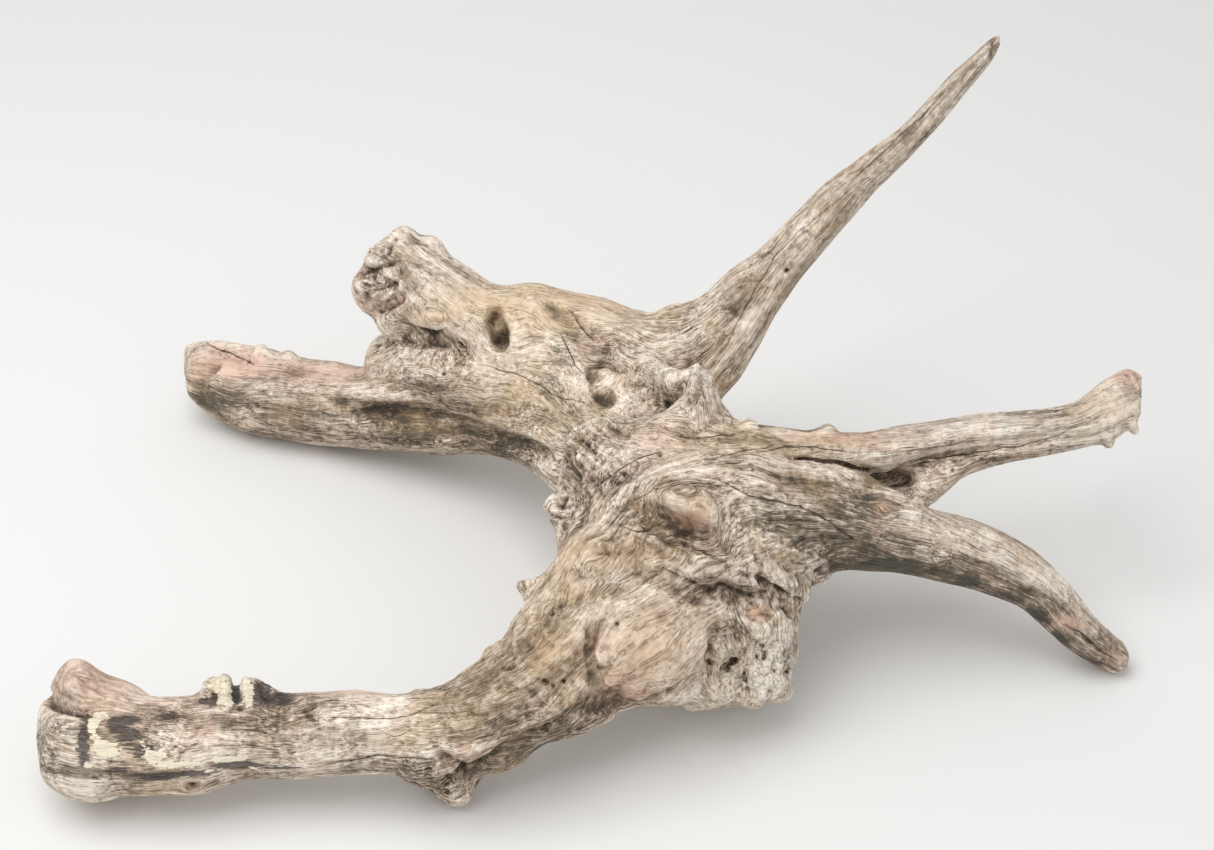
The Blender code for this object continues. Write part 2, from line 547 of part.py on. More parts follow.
def relief():
    """The ridges, grooves, holes and gnarls, placed on the main form's skin."""
    strands = RIDGES + GROOVES
    pixels = [(px, py) for strand in strands for px, py, radius in strand.path]
    pixels += [(spot.px, spot.py) for spot in HOLES + GNARLS]
    places, rays = on_skin(pixels)
    ridges, grooves = [], []
    at = 0
    for number, strand in enumerate(strands):
        here = slice(at, at + len(strand.path))
        at = here.stop
        radii = np.array([point[2] for point in strand.path])
        rises = np.full(len(radii), strand.relief)
        if len(radii) > 2:
            rises[[0, -1]] *= STRAND_ENDS
        inward = radii - rises if number < len(RIDGES) else rises - radii
        middles = places[here] + rays[here] * inward[:, None]
        (ridges if number < len(RIDGES) else grooves).append((strand, middles, radii))
    holes = list(zip(HOLES, places[at:]))
    gnarls = list(zip(GNARLS, places[at + len(HOLES):]))
    return ridges, grooves, holes, gnarls


def wood(points, ridges, grooves, holes, gnarls):
    """Distance to the skin of the whole piece, below zero inside the wood."""
    depth = main_form(points)
    rough = np.full(len(points), 0.5)
    for gnarl, middle in gnarls:
        share = np.linalg.norm(points - middle, axis=1) / gnarl.reach
        rough = np.maximum(rough, GNARLED * np.exp(-share**2))
    rng = np.random.default_rng(SEED)
    swell = swells(points, ROUGH_SPACING, rng) + FINER_SWELLS * swells(points, ROUGH_SPACING / 2, rng)
    depth = depth + ROUGHNESS * rough * swell
    for strand, middles, radii in ridges:
        depth = soft_min(depth, strand_distance(points, middles, radii), strand.fillet)
    for strand, middles, radii in grooves:
        depth = -soft_min(-depth, strand_distance(points, middles, radii), strand.fillet)
    for hole, middle in holes:
        offset = points - middle
        own = np.stack([offset @ RIGHTWARD, offset @ UPWARD, offset @ FORWARD], 1)
        bore = oval_distance(own, np.array([hole.across, hole.upright, hole.deep]))
        depth = -soft_min(-depth, bore, hole.fillet)
    return depth


def surveyed_field():
    """The grid's points, and the wood's depth at each, exact only near the skin."""
    corners = np.array([seen(*row[:3]) for limb in LIMBS for row in limb.stations])
    low, high = corners.min(0) - GRID_MARGIN, corners.max(0) + GRID_MARGIN
    rough_cell = SKIN_CELL * COARSE_CELLS
    counts = np.ceil((high - low) / rough_cell).astype(int)
    rough_axes = [low[k] + rough_cell * np.arange(counts[k] + 1) for k in range(3)]
    marks = relief()
    rough = wood(np.stack(np.meshgrid(*rough_axes, indexing="ij"), -1).reshape(-1, 3), *marks)
    rough = rough.reshape([len(axis) for axis in rough_axes])
    fine = rough[:-1, :-1, :-1]
    for axis in range(3):
        fine = np.repeat(fine, COARSE_CELLS, axis)
    axes = [low[k] + SKIN_CELL * np.arange(fine.shape[k]) for k in range(3)]
    near = np.abs(fine) < NEAR_CELLS * rough_cell
    places = np.stack(np.meshgrid(*axes, indexing="ij"), -1)[near]
    field = fine.copy()
    field[near] = wood(places, *marks)
    return one_sheet_each(field), low


def joined(corners):
    """Whether these corners of a cell, as numbers of three bits, hold together along its edges."""
    reached = set(sorted(corners)[:1])
    for _ in range(8):
        reached |= {corner for corner in corners for other in reached if (corner ^ other) in (1, 2, 4)}
    return reached == set(corners)


def one_sheet_each(field):
    """Fills a corner of each cell that two sheets of the skin would cross, until none is left."""
    cells = [set(bit for bit in range(8) if code >> bit & 1) for code in range(256)]
    torn = np.array([not (joined(cell) and joined(set(range(8)) - cell)) for cell in cells])
    size = np.array(field.shape) - 1
    corners = np.array([[bit >> axis & 1 for axis in range(3)] for bit in range(8)])
    while True:
        code = np.zeros(size, int)
        for bit, step in enumerate(corners):
            block = field[tuple(slice(k, k + n) for k, n in zip(step, size))]
            code += (block < 0).astype(int) << bit
        bad = np.argwhere(torn[code])
        if not len(bad):
            return field
        for cell in bad:
            places = [tuple(cell + step) for step in corners]
            open_ones = [place for place in places if field[place] >= 0]
            if open_ones:
                field[min(open_ones, key=lambda place: field[place])] = -SKIN_CELL / 20


def skin(field, low):
    """The surface where the field is zero, as points and four-sided faces (surface nets).

    Each grid cell that the surface crosses has one point, the mean of its edges' crossings, and
    each crossed edge joins the four cells round it.
    """
    inside = field < 0
    cells = np.array(field.shape) - 1
    total = np.zeros((*cells, 3))
    count = np.zeros(cells)
    faces = []
    for axis in range(3):
        others = [k for k in range(3) if k != axis]
        for step in np.ndindex(2, 2):
            start = [slice(0, cells[k]) for k in range(3)]
            for k, shift in zip(others, step):
                start[k] = slice(shift, cells[k] + shift)
            stop = list(start)
            stop[axis] = slice(1, cells[axis] + 1)
            a, b = field[tuple(start)], field[tuple(stop)]
            crossed = (a < 0) != (b < 0)
            where = np.zeros((*cells, 3))
            where[..., axis] = np.divide(a, a - b, out=np.zeros_like(a), where=crossed)
            for k, shift in zip(others, step):
                where[..., k] = shift
            total += where * crossed[..., None]
            count += crossed
    holds = count > 0
    number = np.full(cells, -1)
    number[holds] = np.arange(holds.sum())
    corner = np.argwhere(holds)
    points = low + SKIN_CELL * (corner + total[holds] / count[holds][:, None])
    for axis in range(3):
        one, two = [k for k in range(3) if k != axis]
        size = [slice(1, cells[k]) for k in range(3)]
        size[axis] = slice(0, cells[axis])
        ahead = list(size)
        ahead[axis] = slice(1, cells[axis] + 1)
        leaves = inside[tuple(size)] & ~inside[tuple(ahead)]
        enters = ~inside[tuple(size)] & inside[tuple(ahead)]
        ring = []
        for back_one, back_two in ((1, 1), (0, 1), (0, 0), (1, 0)):
            block = list(size)
            block[one] = slice(1 - back_one, cells[one] - back_one)
            block[two] = slice(1 - back_two, cells[two] - back_two)
            ring.append(number[tuple(block)])
        ring = np.stack(ring, -1)
        turned = axis == 1
        faces.append(ring[leaves][:, ::-1] if turned else ring[leaves])
        faces.append(ring[enters] if turned else ring[enters][:, ::-1])
    return points, np.vstack(faces)


def wood_material():
    """Dry grey-brown wood."""
    material = bpy.data.materials.new("weathered_wood")
    material.use_nodes = True
    shader = material.node_tree.nodes["Principled BSDF"]
    shader.inputs["Base Color"].default_value = WOOD_COLOUR
    shader.inputs["Roughness"].default_value = WOOD_ROUGHNESS
    shader.inputs["Metallic"].default_value = 0.0
    return material


def drop_chips(shape):
    """Removes every body but the largest, so that a chip cut free by a groove is gone."""
    bodies, left = [], set(shape.verts)
    while left:
        body, front = [], [left.pop()]
        while front:
            vertex = front.pop()
            body.append(vertex)
            beside = {edge.other_vert(vertex) for edge in vertex.link_edges} & left
            left -= beside
            front.extend(beside)
        bodies.append(body)
    bodies.sort(key=len)
    for body in bodies[:-1]:
        bmesh.ops.delete(shape, geom=body)


def stand_on_ground(mesh):
    """Cuts the mesh flat at Z = 0 and closes the cuts, which leaves the worn resting spots."""
    shape = bmesh.new()
    shape.from_mesh(mesh)
    drop_chips(shape)
    whole = [*shape.verts, *shape.edges, *shape.faces]
    bmesh.ops.bisect_plane(shape, geom=whole, plane_co=(0, 0, 0), plane_no=(0, 0, -1), clear_outer=True)
    rims = [edge for edge in shape.edges if edge.is_boundary]
    bmesh.ops.holes_fill(shape, edges=rims)
    bmesh.ops.triangulate(shape, faces=shape.faces[:])
    shape.to_mesh(mesh)
    shape.free()


def build_driftwood():
    """The whole piece as one object."""
    points, faces = skin(*surveyed_field())
    points = points - np.array([*MIDDLE, GROUND_WEAR])
    mesh = bpy.data.meshes.new("driftwood")
    mesh.from_pydata(points.tolist(), [], faces.tolist())
    driftwood = bpy.data.objects.new("driftwood", mesh)
    bpy.context.scene.collection.objects.link(driftwood)
    thin = driftwood.modifiers.new("fewer triangles", "DECIMATE")
    thin.ratio = SKIN_TRIANGLES / (2 * len(faces))
    thin.use_collapse_triangulate = True
    graph = bpy.context.evaluated_depsgraph_get()
    finished = bpy.data.meshes.new_from_object(driftwood.evaluated_get(graph))
    driftwood.modifiers.clear()
    driftwood.data = finished
    stand_on_ground(finished)
    finished.materials.append(wood_material())
    finished.shade_smooth()
    return driftwood


def main():
    """Clears the scene and builds the piece."""
    for thing in list(bpy.data.objects):
        bpy.data.objects.remove(thing)
    build_driftwood()


if __name__ == "__main__":
    main()
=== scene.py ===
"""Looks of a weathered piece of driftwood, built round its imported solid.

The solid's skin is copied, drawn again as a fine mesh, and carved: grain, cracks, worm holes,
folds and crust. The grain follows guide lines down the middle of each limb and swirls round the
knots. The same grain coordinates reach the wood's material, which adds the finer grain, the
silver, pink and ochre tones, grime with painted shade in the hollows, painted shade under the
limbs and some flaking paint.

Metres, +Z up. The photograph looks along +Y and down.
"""

from __future__ import annotations

import logging
import math
from dataclasses import dataclass, field
from enum import Enum, IntEnum

import bmesh
import bpy
import numpy as np
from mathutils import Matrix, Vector
from mathutils.bvhtree import BVHTree

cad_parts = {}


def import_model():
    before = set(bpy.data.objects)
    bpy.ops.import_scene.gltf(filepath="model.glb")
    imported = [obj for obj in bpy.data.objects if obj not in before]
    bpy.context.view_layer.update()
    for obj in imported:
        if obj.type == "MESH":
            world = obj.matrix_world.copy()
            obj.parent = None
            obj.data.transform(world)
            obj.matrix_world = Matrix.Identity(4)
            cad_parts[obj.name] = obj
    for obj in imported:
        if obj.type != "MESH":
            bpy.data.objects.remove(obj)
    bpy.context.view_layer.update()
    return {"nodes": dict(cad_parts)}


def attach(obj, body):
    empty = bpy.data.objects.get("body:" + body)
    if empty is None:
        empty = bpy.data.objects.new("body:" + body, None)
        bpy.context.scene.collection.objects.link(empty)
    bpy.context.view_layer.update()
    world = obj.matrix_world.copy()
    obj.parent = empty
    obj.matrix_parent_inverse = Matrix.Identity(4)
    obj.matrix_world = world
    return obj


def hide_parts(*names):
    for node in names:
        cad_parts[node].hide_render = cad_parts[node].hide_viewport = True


logger = logging.getLogger("driftwood")

Pixel = tuple[float, float]
Size = tuple[float, float]
Place = tuple[float, float, float]
Rgb = tuple[float, float, float]

USUAL_HALF = 0.045
GIRTH_SHARE = 0.3
RADIAL_SHARE = 0.45
BLOCK = 40000
TINY = 1e-12

BODY = "root"
NODE = "driftwood"


class Seed(IntEnum):
    """What each set of random values is for."""

    COARSE = 1
    MEDIUM = 2
    FINE = 3
    GROOVES = 4
    ROPES = 7
    WRINKLES = 8
    SMALL_WRINKLES = 9
    GRAIN = 11
    BORES = 29
    CRACKS = 31
    SMALL_CRACKS = 32
    FOLDS = 33


def unit(vectors: np.ndarray) -> np.ndarray:
    """Each vector of the array at length one."""
    return vectors / np.maximum(np.linalg.norm(vectors, axis=-1, keepdims=True), TINY)


def ease(share: np.ndarray) -> np.ndarray:
    """Zero below 0, one above 1 and smooth between: 3 t squared less 2 t cubed."""
    held = np.clip(share, 0, 1)
    return held * held * (3 - 2 * held)


def linear(red: int, green: int, blue: int) -> Rgb:
    """A display colour of 0 to 255 a channel as the linear colour that shaders take."""
    shares = [channel / 255 for channel in (red, green, blue)]
    return tuple(s / 12.92 if s <= 0.04045 else ((s + 0.055) / 1.055) ** 2.4 for s in shares)


def smooth_curve(rows: np.ndarray, samples: int = 12) -> np.ndarray:
    """Samples of the Catmull-Rom spline through every row.

    Args:
        rows: the points to pass through, with any further values beside their place.
        samples: samples from one row to the next.

    Returns:
        The samples as rows of the same width.
    """
    ends = np.vstack([2 * rows[0] - rows[1], rows, 2 * rows[-1] - rows[-2]])
    t = np.linspace(0, 1, samples, endpoint=False)[:, None]
    spans = [
        0.5 * (2 * b + (c - a) * t + (2 * a - 5 * b + 4 * c - d) * t**2 + (3 * b - a - 3 * c + d) * t**3)
        for a, b, c, d in zip(ends, ends[1:], ends[2:], ends[3:])
    ]
    return np.vstack([*spans, rows[-1:]])


@dataclass(frozen=True)
class Picture:
    """Where the photograph was taken from, which also places the marks that it shows."""

    size: tuple[int, int] = (1214, 850)
    view_length: float = 1.12
    end_pixels: tuple[int, int] = (35, 1148)
    centre: Pixel = (607, 425)
    distance: float = 2.4
    elevation: float = math.radians(38)
    aim: Place = (-0.0040, 0.0621, 0.166)
    sensor: float = 36.0

    @property
    def pixel(self) -> float:
        """Size of a pixel at the aim's distance."""
        return self.view_length / (self.end_pixels[1] - self.end_pixels[0])

    @property
    def forward(self) -> np.ndarray:
        """The way the camera looks."""
        return np.array([0.0, math.cos(self.elevation), -math.sin(self.elevation)])

    @property
    def upward(self) -> np.ndarray:
        """The way that is up in the picture."""
        return np.array([0.0, math.sin(self.elevation), math.cos(self.elevation)])

    @property
    def rightward(self) -> np.ndarray:
        """The way that is right in the picture."""
        return np.array([1.0, 0.0, 0.0])

    @property
    def eye(self) -> np.ndarray:
        """The camera's place."""
        return np.array(self.aim) - self.distance * self.forward

    def ray(self, px: float, py: float) -> np.ndarray:
        """The way from the eye to this pixel, not yet at length one."""
        across = (px - self.centre[0]) * self.pixel * self.rightward
        up = (self.centre[1] - py) * self.pixel * self.upward
        return self.forward * self.distance + across + up

    def at_height(self, px: float, py: float, height: float) -> np.ndarray:
        """The place at this pixel whose height above the floor is given."""
        ray = self.ray(px, py)
        return self.eye + ray * (height - self.eye[2]) / ray[2]

    def camera(self) -> bpy.types.Object:
        """Adds the scene's camera, at the photograph's view.

        Returns:
            The camera.
        """
        data = bpy.data.cameras.new("camera")
        data.sensor_width = self.sensor
        data.lens = self.sensor * self.distance / (self.size[0] * self.pixel)
        camera = bpy.data.objects.new("camera", data)
        camera.location = self.eye
        camera.rotation_mode = "QUATERNION"
        camera.rotation_quaternion = Vector(self.forward).to_track_quat("-Z", "Y")
        bpy.context.scene.collection.objects.link(camera)
        bpy.context.scene.camera = camera
        return camera


@dataclass
class Swells:
    """Smooth seeded noise between -1 and 1: random values on a lattice, eased between corners."""

    seed: Seed
    side: int = 64
    lattice: np.ndarray = field(init=False)

    def __post_init__(self) -> None:
        """Draws the lattice's values."""
        values = np.random.default_rng(int(self.seed)).uniform(-1, 1, self.side**3)
        self.lattice = values.astype(np.float32)

    def at(self, places: np.ndarray) -> np.ndarray:
        """The noise at each place, with one swell to a unit of length.

        Args:
            places: rows of three coordinates.

        Returns:
            One value a row.
        """
        corner = np.floor(places).astype(np.int64)
        part = ease((places - corner).astype(np.float32))
        low = corner % self.side
        high = (low + 1) % self.side
        total = np.zeros(len(places), np.float32)
        for x, wx in ((low[:, 0], 1 - part[:, 0]), (high[:, 0], part[:, 0])):
            for y, wy in ((low[:, 1], 1 - part[:, 1]), (high[:, 1], part[:, 1])):
                for z, wz in ((low[:, 2], 1 - part[:, 2]), (high[:, 2], part[:, 2])):
                    total += self.lattice[(x * self.side + y) * self.side + z] * wx * wy * wz
        return total


class Family(Enum):
    """Guides of one family never meet, so each family can hold one set of grain coordinates."""

    NEAR = "near"
    FAR = "far"


@dataclass(frozen=True)
class Guide:
    """A line down the middle of a limb, which its grain follows.

    Each station is a pixel, the height of the limb's middle there and its half thickness.
    """

    family: Family
    stations: tuple[tuple[float, float, float, float], ...]

    def measure(self, points: np.ndarray, picture: Picture) -> tuple[np.ndarray, np.ndarray]:
        """Straightens the limb.

        Args:
            points: places in the frame.
            picture: what the stations' pixels belong to.

        Returns:
            Rows of the two coordinates round the limb and the way along, in metres, and each
            point's distance from the line as a share of the half thickness. The direction from
            the line counts most round the limb and the distance less, so that a streak keeps to
            the skin but a wall that runs in towards the line still has some.
        """
        rows = np.array([
            (*picture.at_height(px, py, height), half) for px, py, height, half in self.stations
        ])
        curve = smooth_curve(rows).astype(np.float32)
        middle, half = curve[:, :3], curve[:, 3]
        along = unit(np.gradient(middle, axis=0))
        side = unit(np.cross(along, picture.forward)).astype(np.float32)
        front = np.cross(side, along)
        length = np.concatenate([[0], np.cumsum(np.linalg.norm(np.diff(middle, axis=0), axis=1))])
        nearest = np.empty(len(points), np.int64)
        for start in range(0, len(points), BLOCK):
            block = points[start : start + BLOCK]
            squares = (middle**2).sum(1) - 2 * block @ middle.T
            nearest[start : start + BLOCK] = squares.argmin(1)
        offset = points - middle[nearest]
        ahead = (offset * along[nearest]).sum(1)
        across = (offset * side[nearest]).sum(1)
        inward = (offset * front[nearest]).sum(1)
        reach = np.hypot(across, inward)
        usual = USUAL_HALF ** (1 - GIRTH_SHARE) * half[nearest] ** GIRTH_SHARE
        girth = (usual + RADIAL_SHARE * (reach - half[nearest])) / np.maximum(reach, 1e-6)
        coordinates = np.stack([across * girth, inward * girth, length[nearest] + ahead], 1)
        return coordinates.astype(np.float32), np.linalg.norm(offset, axis=1) / half[nearest]


@dataclass(frozen=True)
class Knot:
    """A knot on the skin at a pixel: its reach, how far the grain bends round it, and its rings."""

    px: float
    py: float
    reach: float
    bend: float = 0.8
    rings: float = 0.0


@dataclass(frozen=True)
class Crack:
    """A crack in the skin along pixels, with its half width and depth at the middle."""

    width: float
    depth: float
    path: tuple[Pixel, ...]


@dataclass(frozen=True)
class Fold:
    """A soft ridge along pixels, or a furrow where its height is below zero."""

    width: float
    height: float
    path: tuple[Pixel, ...]


@dataclass(frozen=True)
class Bore:
    """A worm hole or pit at a pixel, with its radius and depth."""

    px: float
    py: float
    radius: float
    depth: float


@dataclass(frozen=True)
class Spot:
    """A soft oval area of the skin round a pixel, as half sizes in pixels, and how strong it is."""

    px: float
    py: float
    across: float
    upright: float
    strength: float = 1.0


@dataclass
class Skin:
    """A mesh's points, edges and normals as arrays."""

    points: np.ndarray
    normals: np.ndarray
    edges: np.ndarray

    @classmethod
    def of(cls, mesh: bpy.types.Mesh) -> Skin:
        """Reads a mesh.

        Args:
            mesh: the mesh.

        Returns:
            Its arrays.
        """
        points = np.empty(len(mesh.vertices) * 3, np.float32)
        normals = np.empty(len(mesh.vertices) * 3, np.float32)
        edges = np.empty(len(mesh.edges) * 2, np.int32)
        mesh.vertices.foreach_get("co", points)
        mesh.vertex_normals.foreach_get("vector", normals)
        mesh.edges.foreach_get("vertices", edges)
        return cls(points.reshape(-1, 3), normals.reshape(-1, 3), edges.reshape(-1, 2))

    def spread(self, values: np.ndarray, times: int) -> np.ndarray:
        """Averages one value a point with its neighbours', several times over.

        Args:
            values: one a point.
            times: how many times over.

        Returns:
            The averages.
        """
        one, two = self.edges.T
        count = np.bincount(self.edges.ravel(), minlength=len(values)) + 1.0
        for _ in range(times):
            total = np.bincount(one, values[two], len(values)) + np.bincount(two, values[one], len(values))
            values = (values + total) / count
        return values

    def sunkenness(self, times: int) -> np.ndarray:
        """How far each point lies below the mean of the skin round it.

        Args:
            times: how many times the mean spreads to the next points.

        Returns:
            One distance a point in metres, below zero on a ridge.
        """
        around = np.stack([self.spread(self.points[:, k], times) for k in range(3)], 1)
        return ((around - self.points) * self.normals).sum(1)


@dataclass
class Grain:
    """The wood's grain: coordinates that run along each limb and round each knot."""

    picture: Picture
    guides: tuple[Guide, ...]
    knots: tuple[Knot, ...]
    knot_places: np.ndarray
    wander: float = 0.0060
    wander_spacing: float = 0.060
    flutter: float = 0.0024
    flutter_spacing: float = 0.019
    knot_fading: float = 2.4

    def family_place(self, points: np.ndarray, family: Family) -> tuple[np.ndarray, np.ndarray]:
        """Grain coordinates from the nearest limb of one family.

        Args:
            points: places in the frame.
            family: the limbs that count.

        Returns:
            The coordinates, and each point's distance as a share of the limb's half thickness.
        """
        best, shares = None, None
        for number, guide in enumerate(self.guides):
            if guide.family is not family:
                continue
            place, share = guide.measure(points, self.picture)
            place[:, 2] += number
            nearer = slice(None) if best is None else share < shares
            best = place if best is None else np.where(nearer[:, None], place, best)
            shares = share if shares is None else np.where(nearer, share, shares)
        return best, shares

    def swirled(self, place: np.ndarray, family: Family) -> np.ndarray:
        """Bends the grain round the knots, as a stream flows round a post.

        Off a knot of reach R the offset y across the grain becomes y (1 - R squared / r squared),
        fading with distance, and inside it rings take the place of lines.

        Args:
            place: one family's grain coordinates.
            family: that family.

        Returns:
            The bent coordinates.
        """
        centres, _ = self.family_place(self.knot_places, family)
        out = place.copy()
        for knot, centre in zip(self.knots, centres):
            offset = place - centre
            square = (offset**2).sum(1)
            near = square < (4 * knot.reach) ** 2
            away = np.sqrt(square[near])
            pull = knot.reach**2 / np.maximum(square[near], knot.reach**2)
            pull = knot.bend * pull * np.exp(-((away / (self.knot_fading * knot.reach)) ** 2))
            out[near, :2] -= offset[near, :2] * pull[:, None]
            out[near, 0] += knot.rings * away * ease(1.25 - away / knot.reach)
        return out

    def at(self, points: np.ndarray) -> tuple[np.ndarray, np.ndarray, np.ndarray]:
        """Both families' grain coordinates at each point, and the far family's part in the mix.

        Args:
            points: places in the frame.

        Returns:
            The near family's coordinates, the far family's, and the mix from 0 to 1.
        """
        near, near_share = self.family_place(points, Family.NEAR)
        far, far_share = self.family_place(points, Family.FAR)
        mix = ease(0.5 + 2.2 * (near_share - far_share))
        noise = Swells(Seed.GRAIN)
        shifts = [
            self.wander * noise.at(points / self.wander_spacing + 7.3 * axis)
            + self.flutter * noise.at(points / self.flutter_spacing + 3.1 * axis)
            for axis in range(2)
        ]
        near, far = self.swirled(near, Family.NEAR), self.swirled(far, Family.FAR)
        for place in (near, far):
            place[:, :2] += np.stack(shifts, 1)
        return near, far, mix.astype(np.float32)


@dataclass
class Streaks:
    """Noise drawn out along the grain."""

    near: np.ndarray
    far: np.ndarray
    mix: np.ndarray

    def of(self, size: Size, seed: Seed) -> np.ndarray:
        """Streaks of this size, between -1 and 1.

        Args:
            size: width and length of one streak, in metres.
            seed: for its random values.

        Returns:
            One value a point.
        """
        width, length = size
        scale = np.array([1 / width, 1 / width, 1 / length], np.float32)
        noise = Swells(seed)
        near, far = noise.at(self.near * scale), noise.at(self.far * scale)
        return near + (far - near) * self.mix


GUIDES = (
    Guide(Family.NEAR, (
        (50, 734, 0.066, 0.052), (150, 743, 0.066, 0.048), (250, 738, 0.073, 0.038),
        (350, 732, 0.076, 0.039), (450, 726, 0.083, 0.043), (525, 694, 0.100, 0.056),
        (585, 650, 0.122, 0.070), (640, 590, 0.145, 0.082), (700, 540, 0.162, 0.080),
        (780, 518, 0.168, 0.062), (870, 530, 0.152, 0.041), (980, 558, 0.118, 0.034),
        (1035, 589, 0.084, 0.028), (1080, 631, 0.046, 0.024), (1118, 656, 0.020, 0.018),
    )),
    Guide(Family.FAR, (
        (176, 370, 0.064, 0.035), (252, 389, 0.052, 0.048), (350, 400, 0.062, 0.048),
        (430, 396, 0.092, 0.056), (500, 404, 0.122, 0.060), (560, 424, 0.150, 0.060),
        (612, 462, 0.180, 0.054), (655, 470, 0.190, 0.058), (720, 469, 0.192, 0.054),
        (790, 465, 0.192, 0.042), (860, 454, 0.192, 0.030), (960, 440, 0.190, 0.025),
        (1050, 431, 0.192, 0.023), (1120, 404, 0.200, 0.029), (1150, 390, 0.202, 0.024),
    )),
    Guide(Family.NEAR, (
        (390, 264, 0.226, 0.036), (434, 294, 0.212, 0.046), (476, 322, 0.194, 0.052),
        (530, 342, 0.184, 0.060), (590, 357, 0.182, 0.062), (650, 364, 0.190, 0.058),
        (695, 350, 0.212, 0.052), (725, 328, 0.240, 0.041), (751, 297, 0.272, 0.033),
        (780, 264, 0.303, 0.026), (838, 201, 0.362, 0.023), (900, 146, 0.418, 0.017),
        (958, 84, 0.478, 0.012), (997, 41, 0.520, 0.006),
    )),
    Guide(Family.FAR, (
        (716, 574, 0.142, 0.062), (730, 612, 0.112, 0.062), (736, 660, 0.076, 0.053),
        (739, 700, 0.046, 0.052),
    )),
    Guide(Family.NEAR, ((694, 434, 0.226, 0.030), (698, 396, 0.262, 0.020), (701, 356, 0.298, 0.012))),
)

KNOTS = (
    Knot(700, 512, 0.022, 0.75, 0.8),
    Knot(436, 320, 0.011),
    Knot(520, 324, 0.015),
    Knot(499, 328, 0.014),
    Knot(603, 396, 0.014),
    Knot(754, 612, 0.008),
    Knot(882, 508, 0.008),
    Knot(730, 665, 0.011),
    Knot(650, 650, 0.020, 0.35),
    Knot(461, 344, 0.006, 0.8, 0.6),
    Knot(787, 271, 0.005),
    Knot(192, 787, 0.009, 0.8, 1.0),
    Knot(660, 545, 0.010),
    Knot(590, 550, 0.010),
    Knot(764, 650, 0.009),
    Knot(784, 670, 0.008),
    Knot(560, 505, 0.009),
    Knot(586, 468, 0.011),
)

CRACKS = (
    Crack(0.00080, 0.0030, ((40, 690), (52, 704), (68, 712), (92, 717))),
    Crack(0.00035, 0.0010, ((850, 182), (884, 150), (924, 112))),
    Crack(0.00060, 0.0014, ((574, 316), (582, 328), (590, 338))),
    Crack(0.00060, 0.0014, ((562, 336), (570, 354), (580, 370))),
    Crack(0.00030, 0.0008, ((724, 349), (736, 326), (759, 284), (777, 255), (798, 232), (824, 211))),
    Crack(0.00130, 0.0070, ((798, 457), (820, 461), (840, 463), (856, 469), (872, 473))),
    Crack(0.00043, 0.0016, ((760, 452), (790, 447), (820, 448), (850, 452))),
    Crack(0.00034, 0.0010, ((898, 466), (925, 459), (958, 456), (1000, 449), (1050, 438), (1086, 424))),
    Crack(0.00037, 0.0012, ((995, 413), (1030, 411), (1062, 411))),
    Crack(0.00050, 0.0016, ((724, 482), (746, 494), (770, 500), (800, 508), (826, 520), (850, 536))),
    Crack(0.00037, 0.0014, ((664, 433), (690, 438), (720, 436), (760, 430))),
    Crack(0.00037, 0.0014, ((700, 460), (740, 452), (770, 446))),
    Crack(0.00043, 0.0016, ((604, 480), (634, 462), (656, 453))),
    Crack(0.00037, 0.0014, ((640, 498), (662, 487), (700, 484), (726, 486))),
    Crack(0.00043, 0.0018, ((690, 548), (704, 553), (718, 560))),
    Crack(0.00037, 0.0012, ((620, 525), (638, 532), (660, 524))),
    Crack(0.00050, 0.0018, ((206, 344), (226, 352), (250, 363))),
    Crack(0.00037, 0.0014, ((480, 365), (505, 371), (530, 380), (552, 394), (580, 402))),
    Crack(0.00037, 0.0014, ((337, 718), (370, 718), (404, 716), (430, 706))),
    Crack(0.00037, 0.0014, ((340, 762), (380, 756), (430, 760))),
    Crack(0.00043, 0.0016, ((1066, 626), (1080, 632), (1098, 648), (1116, 660))),
)

